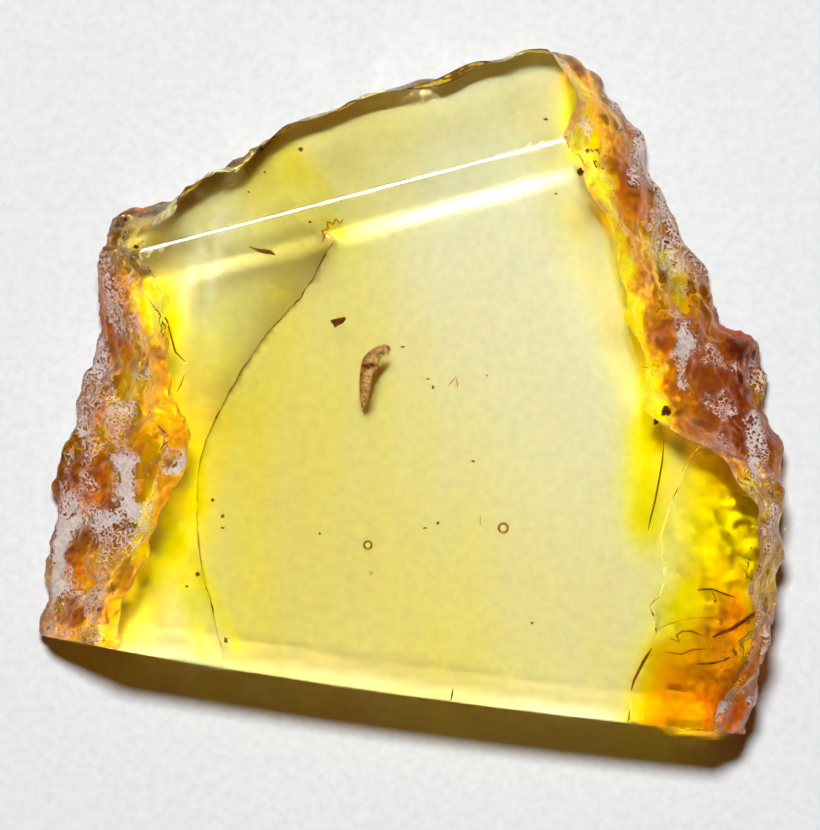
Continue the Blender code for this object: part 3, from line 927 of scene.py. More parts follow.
def is_ground(face):
    """Whether a face of the finished lump is ground and polished, or part of the smooth scar."""
    along, outward = ridge_frame()[:2]
    high = face.center.z > (TOP_LEVEL - 0.2) * MM
    on_ridge = high and abs((face.center - RIDGE_LEFT * MM).dot(outward)) < 0.2 * MM
    rounded = on_ridge and face.normal.z > 0.9 and abs(face.normal.dot(along)) < 0.001
    return is_polished(face) or is_scar(face) or rounded


def painted_scar_shade(lump):
    """How much painted shade darkens each point of the scar: most along its steep edge, towards the back."""
    values = [0.0] * len(lump.data.vertices)
    for face in lump.data.polygons:
        if not is_scar(face):
            continue
        for number in face.vertices:
            co = lump.data.vertices[number].co
            gap, along = distance_to_path(Vector((co.x, co.y)) / MM, SCAR_EDGE)
            reach = 2.6 * (1.0 - along) + 0.6
            soft = max(0.0, 1.0 - gap / reach) ** 1.4 * (0.46 - 0.38 * along)
            line = max(0.0, 1.0 - gap / (0.50 - 0.26 * along)) * (0.42 - 0.12 * along)
            values[number] = min(1.0, soft + line)
    return values


def is_undercut(vertex):
    """Whether a point lies on the undercut rind at the front right, and faces down."""
    level = vertex.co.x > UNDERCUT_LEFT * MM and vertex.co.y < UNDERCUT_BACK * MM
    return level and vertex.co.z < UNDERCUT_TOP * MM and vertex.normal.z < -0.3


def rind_mask(lump, ground):
    """Where the rind is: none on the polish, all on the rind, and rising slowly along the undercut."""
    values = [1.0] * len(lump.data.vertices)
    for number, vertex in enumerate(lump.data.vertices):
        if is_undercut(vertex):
            values[number] = eased(within_one((vertex.co.z / MM - 0.02) / UNDERCUT_FADE))
        elif vertex.co.z > 2.0 * MM:
            values[number] = max(0.0, 1.0 - soft_amount(seen_from_above(vertex.co), WORN_SPOTS))
    for face, flat in zip(lump.data.polygons, ground):
        if flat:
            for number in face.vertices:
                values[number] = 0.0
    return values


def paint_lump(lump):
    """Paints on the lump where its rind is and how thick, and the tints, painted shade, painted glow and
    scuffs of the clear amber.
    """
    lump.vertex_groups.clear()
    mask = rind_mask(lump, [is_ground(face) for face in lump.data.polygons])
    # Painted shade along the flake scar, added to the painted shade of the polish below.
    scar = painted_scar_shade(lump)
    paint_values(lump, "rind", mask)
    paint(lump, "depth", rind_depth_and_light)
    for name, value_at in CLEAR_TINTS:
        values = [
            value_at(vertex.co) if cover < 0.999 else 0.0 for vertex, cover in zip(lump.data.vertices, mask)
        ]
        if name == "painted_shade":
            values = [min(1.0, first + second) for first, second in zip(values, scar)]
        paint_values(lump, name, values)


def sharpen_polish(lump):
    """Shades the rind smooth and the polish flat, with a sharp edge between them."""
    flat = [is_polished(face) for face in lump.data.polygons]
    lump.data.shade_smooth()
    lump.data.polygons.foreach_set("use_smooth", [not each for each in flat])
    select_faces(lump, is_ground)
    bpy.ops.mesh.region_to_loop()
    bpy.ops.mesh.mark_sharp()
    bpy.ops.object.mode_set(mode="OBJECT")


def blow_bubbles(lump):
    """Adds the round bubbles as hollows in the amber's own mesh."""
    for x, y, level, radius in BUBBLES:
        place = (x * MM, y * MM, level * MM)
        leave_edit_mode()
        bpy.ops.object.select_all(action="DESELECT")
        bpy.ops.mesh.primitive_uv_sphere_add(segments=28, ring_count=16, radius=radius * MM, location=place)
        bubble = bpy.context.object
        bpy.ops.object.mode_set(mode="EDIT")
        bpy.ops.transform.resize(value=(1.0, 1.0, BUBBLE_FLATNESS), center_override=place)
        bpy.ops.mesh.flip_normals()
        bpy.ops.object.mode_set(mode="OBJECT")
        bubble.data.shade_smooth()
        bpy.ops.object.transform_apply(location=True, rotation=True, scale=True)
        drop_maps(bubble)
        pick_only(lump, bubble)
        bpy.ops.object.join()


class AMBER_OT_lump(bpy.types.Operator):
    """Builds the amber from the two halves of the solid, with its polished faces and its rind"""

    bl_idname = "insect_amber.lump"
    bl_label = "Amber lump"

    def execute(self, context):
        settings = context.scene.amber_lump
        noise.seed_set(SEED)
        lump = gather_lump()
        grow_past_polish(lump)
        raise_back_wall(lump)
        roughen_rind(lump, settings)
        smooth_scar(lump, settings)
        polish(lump, settings)
        close_flaws(lump)
        score_polish(lump)
        paint_lump(lump)
        sharpen_polish(lump)
        drop_maps(lump)
        blow_bubbles(lump)
        lump.data.materials.append(clear_amber(settings))
        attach(lump, "root")
        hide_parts("amber_lower", "amber_upper")
        return {"FINISHED"}


def clear_amber(settings):
    """Clear amber: an even pale yellow all through, painted tints with painted shade and glow on its polish
    and a dull orange rind.
    """
    material = new_material("clear_amber")
    tree = material.node_tree
    link = tree.links.new
    shader = tree.nodes["Principled BSDF"]
    shader.inputs["IOR"].default_value = settings.refraction
    shader.inputs["Transmission Weight"].default_value = 1.0
    volume = tree.nodes.new("ShaderNodeVolumeAbsorption")
    volume.inputs["Color"].default_value = (*settings.absorption_colour, 1)
    volume.inputs["Density"].default_value = settings.absorption_density
    link(volume.outputs["Volume"], tree.nodes["Material Output"].inputs["Volume"])

    place = tree.nodes.new("ShaderNodeTexCoord").outputs["Object"]
    rind = painted(tree, "rind")

    # The rind: yellow where it is thin, orange to red-brown where it is thick, and olive along the back.
    fine = noise_value(tree, place, RIND_FINENESS, detail=0.0)
    uneven = math_node(tree, "MULTIPLY", math_node(tree, "SUBTRACT", fine, 0.5), 0.6)
    depth = math_node(tree, "ADD", painted(tree, "depth"), uneven)
    rind_colour = colour_ramp(tree, depth, RIND_COLOURS)
    axes = tree.nodes.new("ShaderNodeSeparateXYZ")
    link(place, axes.inputs[0])
    along = axes.outputs["X"]
    slant = math_node(tree, "MULTIPLY", along, OLIVE_SLANT)
    backward = math_node(tree, "SUBTRACT", axes.outputs["Y"], slant)
    at_back = map_range(tree, backward, OLIVE_BACK[0] * MM, OLIVE_BACK[1] * MM)
    not_right = map_range(tree, along, OLIVE_RIGHT[0] * MM, OLIVE_RIGHT[1] * MM)
    less_left = map_range(tree, along, OLIVE_LEFT[0] * MM, OLIVE_LEFT[1] * MM, OLIVE_AT_LEFT, 1.0)
    olive = math_node(tree, "MULTIPLY", math_node(tree, "MULTIPLY", at_back, not_right), less_left)
    rind_colour = mix_colour(tree, olive, rind_colour, OLIVE)

    # The clear inside: deeper yellow to the left, painted glow beside the rind, painted shade along the scar.
    clear_colour = mix_colour(tree, painted(tree, "yellow"), CLEAR, DEEP_YELLOW)
    clear_colour = mix_colour(tree, painted(tree, "painted_shade"), clear_colour, PAINTED_SHADE_BROWN)
    clear_colour = mix_colour(tree, painted(tree, "painted_glow"), clear_colour, PAINTED_GLOW_YELLOW)
    clear_colour = mix_colour(tree, painted(tree, "orange"), clear_colour, TINGE_ORANGE)
    link(mix_colour(tree, rind, clear_colour, rind_colour), shader.inputs["Base Color"])

    # Polished faces are smooth but for a few scuffs. The rind is dull, less so where it is thin.
    dull = math_node(tree, "MULTIPLY", map_range(tree, depth, 0.15, 0.6, 0.09, 0.32, smooth=False), rind)
    scuffs = math_node(tree, "MULTIPLY", painted(tree, "scuff"), map_range(tree, fine, 0.35, 0.65, 0.6, 1.0))
    link(math_node(tree, "ADD", dull, scuffs), shader.inputs["Roughness"])
    bump = add_node(tree, "ShaderNodeBump", Strength=0.7, Distance=0.05 * MM)
    link(math_node(tree, "MULTIPLY", fine, rind), bump.inputs["Height"])
    link(bump.outputs["Normal"], shader.inputs["Normal"])
    return material


# The least strength of bloom that shows, and how far from a bubble's middle it stays.
LEAST_BLOOM = 0.48
BUBBLE_CLEARANCE = 0.4


class BloomSettings(bpy.types.PropertyGroup):
    lift: bpy.props.FloatProperty(
        name="Thickness",
        description="How far the bloom stands off the rind",
        default=0.012 * MM,
        unit="LENGTH",
    )
    colour: bpy.props.FloatVectorProperty(
        name="Bloom colour",
        description="Colour of the chalky bloom",
        subtype="COLOR",
        size=3,
        default=(0.79, 0.67, 0.60),
    )


def bloom_material(settings):
    """Chalky whitish bloom in worm-like flecks, closing up to solid patches."""
    material = new_material("chalky_bloom")
    tree = material.node_tree
    shader = tree.nodes["Principled BSDF"]
    place = tree.nodes.new("ShaderNodeTexCoord").outputs["Object"]
    cover = painted(tree, "cover")
    cloud = noise_value(tree, place, BLOOM_FINENESS, detail=1.0)
    off_middle = math_node(tree, "ABSOLUTE", math_node(tree, "SUBTRACT", cloud, 0.5), 0.0)
    width = map_range(tree, cover, 0.5, 1.0, 0.012, 0.10, smooth=False)
    lines = map_range(tree, math_node(tree, "SUBTRACT", width, off_middle), -0.006, 0.010)
    flecks = math_node(tree, "MULTIPLY", lines, map_range(tree, cover, LEAST_BLOOM, 0.60))
    thickness = math_node(tree, "SUBTRACT", cover, math_node(tree, "MULTIPLY", cloud, 0.5))
    solid = map_range(tree, thickness, 0.78, 0.90)
    alpha = math_node(tree, "MAXIMUM", flecks, solid)
    tree.links.new(math_node(tree, "MULTIPLY", alpha, 0.92), shader.inputs["Alpha"])
    pale = tuple(settings.colour)
    dark = tuple(0.78 * channel for channel in pale)
    tint = mix_colour(tree, map_range(tree, cloud, 0.3, 0.65), dark, pale)
    tree.links.new(tint, shader.inputs["Base Color"])
    tree.links.new(map_range(tree, cloud, 0.3, 0.7, 0.75, 0.95), shader.inputs["Roughness"])
    shader.inputs["Specular IOR Level"].default_value = 0.3
    return material


class AMBER_OT_bloom(bpy.types.Operator):
    """Lays the chalky bloom over the rind"""

    bl_idname = "insect_amber.bloom"
    bl_label = "Chalky bloom"

    def execute(self, context):
        settings = context.scene.amber_bloom
        noise.seed_set(SEED)
        lump = bpy.data.objects["amber"]
        bloom = bpy.data.objects.new("rind_bloom", lump.data.copy())
        bloom.data.name = "rind_bloom"
        bloom.data.materials.clear()
        context.scene.collection.objects.link(bloom)
        weathered = [item.value > 0.9 for item in bloom.data.attributes["rind"].data]
        middles = [Vector((x, y, level)) * MM for x, y, level, radius in BUBBLES]
        paint(bloom, "cover", chalk_cover)
        cover = [item.value for item in bloom.data.attributes["cover"].data]

        def bare(face):
            right = face.center.y < -1.0 * MM and face.center.x > UNDERCUT_LEFT * MM
            beneath = face.normal.z < -0.3 and right
            clear = not all(weathered[number] for number in face.vertices)
            bubble = any((face.center - middle).length < BUBBLE_CLEARANCE * MM for middle in middles)
            thin = max(cover[number] for number in face.vertices) < LEAST_BLOOM
            return clear or beneath or bubble or thin

        select_faces(bloom, bare)
        bpy.ops.mesh.delete(type="FACE")
        bpy.ops.mesh.select_all(action="SELECT")
        bpy.ops.mesh.customdata_custom_splitnormals_clear()
        bpy.ops.transform.shrink_fatten(value=settings.lift)
        bpy.ops.object.mode_set(mode="OBJECT")
        bloom.data.shade_smooth()
        for name in ("rind", "depth", *(name for name, value_at in CLEAR_TINTS)):
            bloom.data.attributes.remove(bloom.data.attributes[name])
        bloom.data.materials.append(bloom_material(settings))
        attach(bloom, "root")
        return {"FINISHED"}


# Dark marks on the insect's side, and the brown of its head and joints.
INSECT_MARKS = (
    ((-1.98, 1.10), (-1.88, 1.05), 0.13, 1.4),
    ((-1.72, 1.16), (-1.62, 1.10), 0.13, 1.4),
    ((-1.86, 1.12), (-1.76, 1.00), 0.10, 1.0),
)
INSECT_JOINTS = (
    ((-1.02, 1.86), (-0.98, 1.76), 0.12, 0.7),
    ((-1.45, 1.66), (-1.20, 1.58), 0.07, 0.6),
    ((-1.55, 1.50), (-1.32, 1.42), 0.06, 0.5),
    ((-2.12, 0.72), (-1.70, 0.66), 0.06, 0.5),
    ((-2.14, 0.42), (-1.72, 0.38), 0.06, 0.5),
    ((-2.12, 0.12), (-1.78, 0.08), 0.06, 0.5),
    ((-2.08, -0.18), (-1.82, -0.20), 0.06, 0.5),
)
# Where the tail starts to let light through, and where it lets the most through.
TAIL_START = 0.35
TAIL_END = -0.80


class InsectSettings(bpy.types.PropertyGroup):
    skin_colour: bpy.props.FloatVectorProperty(
        name="Skin colour",
        description="Tan of the insect's skin",
        subtype="COLOR",
        size=3,
        default=(0.68, 0.46, 0.29),
    )
    spot_colour: bpy.props.FloatVectorProperty(
        name="Spot colour",
        description="Dark red-brown of the marks on its side",
        subtype="COLOR",
        size=3,
        default=(0.13, 0.010, 0.006),
    )
    joint_colour: bpy.props.FloatVectorProperty(
        name="Joint colour",
        description="Brown of its head and its joints",
        subtype="COLOR",
        size=3,
        default=(0.20, 0.09, 0.03),
    )


def insect_skin(settings):
    """Mottled tan skin with darker joints, dark marks on the side and a tail that light shines through."""
    material = new_material("insect_skin")
    tree = material.node_tree
    shader = tree.nodes["Principled BSDF"]
    place = tree.nodes.new("ShaderNodeTexCoord").outputs["Object"]
    mottle = noise_value(tree, place, MOTTLE_FINENESS, detail=3.0, roughness=0.65)
    skin = tuple(settings.skin_colour)
    pale = tuple(min(1.0, 1.35 * channel) for channel in skin)
    dark = tuple(0.45 * channel for channel in skin)
    colour = colour_ramp(tree, mottle, ((0.28, dark), (0.48, skin), (0.68, pale)))
    colour = mix_colour(tree, painted(tree, "mark"), colour, tuple(settings.spot_colour))
    colour = mix_colour(tree, painted(tree, "joint"), colour, tuple(settings.joint_colour))
    tree.links.new(colour, shader.inputs["Base Color"])
    axes = tree.nodes.new("ShaderNodeSeparateXYZ")
    tree.links.new(place, axes.inputs[0])
    solid = map_range(tree, axes.outputs["Y"], TAIL_END * MM, TAIL_START * MM, 0.20, 1.0)
    uneven = map_range(tree, mottle, 0.35, 0.6, 0.75, 1.0)
    tree.links.new(math_node(tree, "MULTIPLY", solid, uneven), shader.inputs["Alpha"])
    tree.links.new(map_range(tree, mottle, 0.3, 0.7, 0.35, 0.6), shader.inputs["Roughness"])
    bump = add_node(tree, "ShaderNodeBump", Strength=0.5, Distance=0.01 * MM)
    tree.links.new(mottle, bump.inputs["Height"])
    tree.links.new(bump.outputs["Normal"], shader.inputs["Normal"])
    return material


class AMBER_OT_insect(bpy.types.Operator):
    """Finishes the insect with smooth fine skin"""

    bl_idname = "insect_amber.insect"
    bl_label = "Insect"

    def execute(self, context):
        settings = context.scene.amber_insect
        noise.seed_set(SEED)
        insect = merged_copy("insect", "small_gnat")
        apply_modifier(insect, "SUBSURF", levels=1, render_levels=1)
        insect.data.shade_smooth()
        for name, marks in (("mark", INSECT_MARKS), ("joint", INSECT_JOINTS)):

            def marked(co):
                return within_one(soft_amount(seen_from_above(co, 0.05, 0.1), marks))

            paint(insect, name, marked)
        insect.data.materials.append(insect_skin(settings))
        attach(insect, "root")
        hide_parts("insect")
        return {"FINISHED"}


class ScrapSettings(bpy.types.PropertyGroup):
    bark_colour: bpy.props.FloatVectorProperty(
        name="Bark colour",
        description="Dark red-brown of the scraps of bark",
        subtype="COLOR",
        size=3,
        default=(0.19, 0.058, 0.012),
    )
    wood_colour: bpy.props.FloatVectorProperty(
        name="Wood colour",
        description="Brown of the splinter of wood",
        subtype="COLOR",
        size=3,
        default=(0.22, 0.09, 0.02),
    )


# Scraps: the solid's node, the new piece's name, its material and its slot.
SCRAPS = (
    ("bark_flake", "flake_of_bark", "bark_fibre", "bark"),
    ("bark_bit", "bit_of_bark", "bark_fibre", "bark"),
    ("wood_splinter", "splinter_of_wood", "wood_fibre", "wood"),
)
# How the noise is squeezed, so that it makes long streaks.
GRAIN_SHAPE = (0.2, 1.0, 1.0)


def fibre_grain():
    """The grain that all the fibrous materials share, built once: streaks with darker pores."""
    if "fibre_grain" in bpy.data.node_groups:
        return bpy.data.node_groups["fibre_grain"]
    group = bpy.data.node_groups.new("fibre_grain", "ShaderNodeTree")
    for name, kind in (
        ("Place", "NodeSocketVector"),
        ("Turn", "NodeSocketVector"),
        ("Dark", "NodeSocketColor"),
        ("Middle", "NodeSocketColor"),
        ("Pale", "NodeSocketColor"),
    ):
        group.interface.new_socket(name, in_out="INPUT", socket_type=kind)
    for name, kind in (
        ("Colour", "NodeSocketColor"),
        ("Roughness", "NodeSocketFloat"),
        ("Height", "NodeSocketFloat"),
    ):
        group.interface.new_socket(name, in_out="OUTPUT", socket_type=kind)
    given = group.nodes.new("NodeGroupInput").outputs
    result = group.nodes.new("NodeGroupOutput").inputs
    grain = add_node(group, "ShaderNodeMapping", Scale=GRAIN_SHAPE)
    group.links.new(given["Place"], grain.inputs["Vector"])
    group.links.new(given["Turn"], grain.inputs["Rotation"])
    streaks = noise_value(group, grain.outputs["Vector"], GRAIN_FINENESS, detail=3.0, roughness=0.6)
    past_dark = map_range(group, streaks, 0.32, 0.5, smooth=False)
    past_middle = map_range(group, streaks, 0.5, 0.7, smooth=False)
    darker = mix_colour(group, past_dark, given["Dark"], given["Middle"])
    group.links.new(mix_colour(group, past_middle, darker, given["Pale"]), result["Colour"])
    group.links.new(map_range(group, streaks, 0.3, 0.7, 0.5, 0.8), result["Roughness"])
    group.links.new(streaks, result["Height"])
    return group


def fibre_material(name, colour, grain_turn):
    """Fibrous brown in this colour, with its grain turned by this angle."""
    material = new_material(name)
    tree = material.node_tree
    shader = tree.nodes["Principled BSDF"]
    grain = tree.nodes.new("ShaderNodeGroup")
    grain.node_tree = fibre_grain()
    grain.inputs["Turn"].default_value = (0, 0, grain_turn)
    grain.inputs["Dark"].default_value = (*(0.35 * channel for channel in colour), 1)
    grain.inputs["Middle"].default_value = (*colour, 1)
    grain.inputs["Pale"].default_value = (*(min(1.0, 2.2 * channel) for channel in colour), 1)
    tree.links.new(tree.nodes.new("ShaderNodeTexCoord").outputs["Object"], grain.inputs["Place"])
    tree.links.new(grain.outputs["Colour"], shader.inputs["Base Color"])
    tree.links.new(grain.outputs["Roughness"], shader.inputs["Roughness"])
    bump = add_node(tree, "ShaderNodeBump", Strength=0.7, Distance=0.015 * MM)
    tree.links.new(grain.outputs["Height"], bump.inputs["Height"])
    tree.links.new(bump.outputs["Normal"], shader.inputs["Normal"])
    return material


class AMBER_OT_scraps(bpy.types.Operator):
    """Finishes the flake and bit of bark and the splinter of wood"""

    bl_idname = "insect_amber.scraps"
    bl_label = "Scraps of bark and wood"

    def execute(self, context):
        settings = context.scene.amber_scraps
        finishes = {
            "bark_fibre": fibre_material("bark_fibre", settings.bark_colour, math.radians(-20)),
            "wood_fibre": fibre_material("wood_fibre", settings.wood_colour, math.radians(20)),
        }
        ragged = bpy.data.textures.new("ragged", "CLOUDS")
        ragged.noise_scale = 0.1 * MM
        for node, name, finish, slot in SCRAPS:
            scrap = merged_copy(node, name)
            pick_only(scrap)
            bpy.ops.object.mode_set(mode="EDIT")
            bpy.ops.mesh.select_all(action="SELECT")
            bpy.ops.mesh.subdivide(number_cuts=FINE_CUTS, quadcorner="INNERVERT")
            bpy.ops.object.mode_set(mode="OBJECT")
            apply_modifier(scrap, "SMOOTH", factor=0.5, iterations=2)
            apply_modifier(scrap, "DISPLACE", texture=ragged, texture_coords="LOCAL", direction="NORMAL",
                           strength=0.05 * MM, mid_level=0.5)
            scrap.data.shade_smooth()
            scrap.data.materials.append(finishes[finish])
            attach(scrap, "root")
            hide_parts(node)
        return {"FINISHED"}


class DirtSettings(bpy.types.PropertyGroup):
    speck_size: bpy.props.FloatProperty(
        name="Speck size", description="Scale of the small specks in the amber", default=1.0
    )


# Small specks in the amber: place, height above the base, length and width.
SPECKS = (
    (0.59, 0.57, 3.2, 0.12, 0.07), (0.79, 0.24, 3.0, 0.10, 0.16), (2.97, 0.69, 3.0, 0.05, 0.16),
    (2.40, -2.75, 2.6, 0.13, 0.10), (-0.42, 1.86, 3.4, 0.20, 0.07), (-8.10, -4.32, 2.4, 0.14, 0.11),
    (-7.70, -4.97, 2.4, 0.13, 0.14), (-7.70, -5.45, 2.2, 0.15, 0.07), (-3.78, -5.66, 2.6, 0.11, 0.11),
    (0.99, -5.25, 2.7, 0.12, 0.14), (0.46, -5.45, 2.9, 0.15, 0.08), (4.79, -9.29, 2.3, 0.10, 0.10),
    (-8.71, -7.31, 2.5, 0.18, 0.15), (-9.15, -7.80, 2.4, 0.12, 0.07), (-7.57, -9.98, 2.3, 0.16, 0.22),
    (5.43, 10.71, 2.4, 0.20, 0.10), (5.76, 8.04, 2.2, 0.12, 0.08), (-4.50, 9.62, 2.6, 0.20, 0.16),
    (-5.92, 8.61, 2.2, 0.12, 0.10), (-6.56, 7.76, 2.2, 0.08, 0.08), (-4.18, 6.91, 1.8, 0.12, 0.10),
    (-11.17, 5.86, 4.5, 0.22, 0.14), (7.29, 9.41, 2.2, 0.30, 0.24), (6.73, 8.93, 2.0, 0.28, 0.28),
    (12.18, -8.40, 2.6, 0.1, 0.1),
)

# Threads, hairs and cracks: name, height above the base, radius, material, and the points seen from above.
THREADS = (
    ("long_hair", 2.4, 0.034, "dark_fibre",
     ((10.12, -1.90), (10.04, -2.79), (9.88, -3.68), (9.76, -4.32), (9.59, -5.01), (9.47, -5.53))),
    ("branched_line", 2.6, 0.036, "dark_fibre",
     ((11.45, -7.96), (11.74, -7.92), (12.06, -7.92), (12.38, -8.04), (12.71, -8.16), (12.99, -8.24))),
    ("branched_line_twig", 2.6, 0.024, "dark_fibre", ((12.02, -7.96), (12.14, -8.16), (12.26, -8.40))),
    ("upright_dash", 2.7, 0.030, "dark_fibre", ((2.69, -4.93), (2.69, -5.33))),
    ("front_line", 3.9, 0.040, "dark_fibre", ((1.60, -11.88), (1.56, -12.16), (1.51, -12.40))),
    ("serrated_edge", 0.45, 0.045, "orange_crack",
     ((-3.70, 6.06), (-3.58, 6.34), (-3.70, 6.54), (-3.45, 6.63), (-3.49, 6.91), (-3.25, 6.83),
      (-3.13, 7.03), (-2.97, 6.83), (-2.85, 7.03))),
    ("golden_flake", 3.0, 0.022, "orange_crack",
     ((1.42, 0.28), (1.52, 0.42), (1.70, 0.64), (1.76, 0.44), (1.78, 0.24), (1.60, 0.34))),
    ("red_twig", 2.6, 0.085, "red_crack",
     ((12.06, -9.86), (12.46, -9.66), (12.91, -9.49), (13.27, -9.25), (13.68, -8.97), (14.08, -8.65))),
    ("front_crack", 2.2, 0.055, "red_crack",
     ((9.63, -10.30), (9.39, -10.67), (9.27, -10.87), (9.15, -11.11), (8.91, -11.59), (8.79, -12.0))),
    ("side_crack", 2.2, 0.060, "red_crack", ((11.45, -10.95), (12.06, -10.91), (12.71, -10.75))),
    ("hooked_crack", 2.2, 0.036, "red_crack",
     ((10.36, -9.90), (10.73, -10.06), (10.62, -9.78), (10.85, -9.62), (11.25, -9.62), (11.70, -9.82))),
    ("curved_crack", 2.4, 0.018, "orange_crack",
     ((9.96, -9.49), (10.40, -9.30), (10.77, -9.17), (11.57, -9.05), (12.10, -9.07), (12.58, -9.17))),
    ("low_crack", 2.1, 0.030, "red_crack",
     ((10.1, -10.45), (10.8, -10.55), (11.3, -10.35), (11.9, -10.35))),
    ("left_crack", 4.0, 0.028, "dark_fibre",
     ((-10.65, 3.76), (-10.24, 3.43), (-9.92, 2.87), (-9.76, 2.22), (-9.60, 1.66), (-9.20, 1.25))),
    ("chip_edge", 4.5, 0.036, "red_crack",
     ((-10.32, -1.29), (-10.04, -1.58), (-9.64, -1.82), (-9.35, -1.90), (-9.11, -2.10))),
    ("chip_fold", 4.5, 0.030, "red_crack",
     ((-10.24, -2.30), (-10.05, -2.08), (-9.92, -1.98), (-9.70, -1.86))),
    ("left_strokes", 3.2, 0.022, "dark_fibre", ((-9.23, 0.73), (-9.39, 0.32), (-9.55, 0.04))),
    ("right_crack_high", 3.0, 0.016, "dark_fibre", ((9.00, 2.62), (9.25, 2.58), (9.55, 2.60))),
    ("right_crack_low", 3.0, 0.016, "dark_fibre", ((9.20, 1.05), (9.50, 1.00), (9.70, 1.06))),
)


# How thin a thread is at its ends, as a share of its radius.
THREAD_END = 0.35

# Colours of the specks, hairs and cracks, and the turn of their grain in degrees.
DIRT_COLOURS = (
    ("dark_fibre", (0.07, 0.03, 0.01), 0),
    ("orange_crack", (0.55, 0.20, 0.02), 0),
    ("red_crack", (0.26, 0.075, 0.010), 0),
    ("speck_brown", (0.16, 0.085, 0.025), 35),
)


def lay_thread(name, route, level, radius):
    """A thin thread through the points, thinner at both ends, as a closed mesh."""
    curve = bpy.data.curves.new(name, "CURVE")
    curve.dimensions = "3D"
    curve.bevel_depth = 1.0
    curve.bevel_resolution = 1
    curve.use_fill_caps = True
    points = [Vector((x * MM, y * MM, level * MM)) for x, y in route]
    last = len(points) - 1
    spline = curve.splines.new("POLY")
    spline.points.add(last)
    for number, (point, place) in enumerate(zip(spline.points, points)):
        point.co = (*place, 1.0)
        ends = min(number, last - number)
        wander = noise.noise(place / (0.2 * MM))
        point.radius = radius * MM * (THREAD_END if ends == 0 else 1.0 + 0.4 * wander)
    piece = bpy.data.objects.new(name, curve)
    bpy.context.scene.collection.objects.link(piece)
    pick_only(piece)
    bpy.ops.object.convert(target="MESH")
    piece = bpy.context.object
    bpy.ops.object.mode_set(mode="EDIT")
    bpy.ops.mesh.select_all(action="SELECT")
    bpy.ops.mesh.remove_doubles(threshold=0.0001 * MM)
    bpy.ops.mesh.normals_make_consistent(inside=False)
    bpy.ops.object.mode_set(mode="OBJECT")
    piece.data.shade_smooth()
    return piece


def grow_speck(number, scale):
    """Adds one speck as a ragged lump."""
    x, y, level, length, width = SPECKS[number]
    place = (x * MM, y * MM, level * MM)
    bpy.ops.object.select_all(action="DESELECT")
    bpy.ops.mesh.primitive_ico_sphere_add(subdivisions=2, radius=0.5 * MM, location=place)
    speck = bpy.context.object
    bpy.ops.object.mode_set(mode="EDIT")
    size = (length * scale, width * scale, 0.5 * (length + width) * scale)
    bpy.ops.transform.resize(value=size, center_override=place)
    bpy.ops.object.mode_set(mode="OBJECT")
    bpy.ops.object.transform_apply(location=True, rotation=True, scale=True)
    middle = Vector((x, y, level)) * MM
    for vertex in speck.data.vertices:
        out = vertex.co - middle
        ragged = noise.noise(vertex.co / (0.05 * MM) + Vector((number, 0, 0)))
        vertex.co = middle + out * (1.0 + 0.9 * ragged)
    return speck


class AMBER_OT_dirt(bpy.types.Operator):
    """Scatters the small specks, hairs and threads that lie in the amber"""

    bl_idname = "insect_amber.dirt"
    bl_label = "Specks and hairs"

    def execute(self, context):
        settings = context.scene.amber_dirt
        finishes = {}
        for name, colour, degrees in DIRT_COLOURS:
            finishes[name] = fibre_material(name, colour, math.radians(degrees))
        specks = [grow_speck(number, settings.speck_size) for number in range(len(SPECKS))]
        pick_only(*specks)
        bpy.ops.object.join()
        grains = context.object
        grains.name = "specks"
        grains.data.name = "specks"
        grains.data.materials.append(finishes["speck_brown"])
        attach(grains, "root")
        for name, level, radius, finish, route in THREADS:
            piece = lay_thread(name, route, level, radius)
            piece.data.materials.append(finishes[finish])
            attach(piece, "root")
        return {"FINISHED"}


class StageSettings(bpy.types.PropertyGroup):
    light_tilt: bpy.props.FloatProperty(
        name="Light tilt",
        description="How far the key light stands from straight overhead, towards the back",
        default=math.radians(19),
        subtype="ANGLE",
    )
    light_aside: bpy.props.FloatProperty(
        name="Light aside",
        description="How far the key light stands to the left",
        default=math.radians(2.5),
        subtype="ANGLE",
    )
    light_spread: bpy.props.FloatProperty(
        name="Light spread",
        description="Half of the angle that the key light fills, seen from the amber",
        default=math.radians(4),
        subtype="ANGLE",
    )
    light_breadth: bpy.props.FloatProperty(
        name="Light breadth",
        description="Half of the angle that the key light fills from side to side",
        default=math.radians(6),
        subtype="ANGLE",
    )
    light_strength: bpy.props.FloatProperty(
        name="Light strength",
        description="Light that falls on the paper from the key light, in watts a square metre",
        default=3.12,
    )
    sky_strength: bpy.props.FloatProperty(
        name="Fill strength", description="Strength of the even warm light from all round", default=0.045
    )
    warm_strength: bpy.props.FloatProperty(
        name="Warm strength",
        description="Strength of the warm light that comes in through the amber",
        default=1.07,
    )
    camera_height: bpy.props.FloatProperty(
        name="Camera height", description="Height of the camera above the paper", default=0.8, unit="LENGTH"
    )
    view_width: bpy.props.FloatProperty(
        name="View width",
        description="Width of the view at half the height of the lump",
        default=33.13 * MM,
        unit="LENGTH",
    )
    view_centre: bpy.props.FloatVectorProperty(
        name="View centre",
        description="Point of the lump at the middle of the view",
        size=2,
        unit="LENGTH",
        default=(-0.14 * MM, -0.89 * MM),
    )


# The paper: how far it lies below the lump, its size in metres and its tints from dark to pale.
PAPER_LEVEL = -0.05
PAPER_SIZE = 4.0
PAPER_TINTS = (
    (0.30, (0.780, 0.832, 0.858)),
    (0.50, (0.824, 0.875, 0.898)),
    (0.70, (0.858, 0.905, 0.923)),
)
# How many metres the key light is away.
LIGHT_DISTANCE = 0.6
# Colours of the surround: from all round, through the amber, and as the camera sees it.
FILL_COLOUR = (1.0, 0.25, 0.06, 1)
WARM_COLOUR = (1.0, 0.25, 0.008, 1)
BACKDROP_COLOUR = (0.84, 0.86, 0.87, 1)
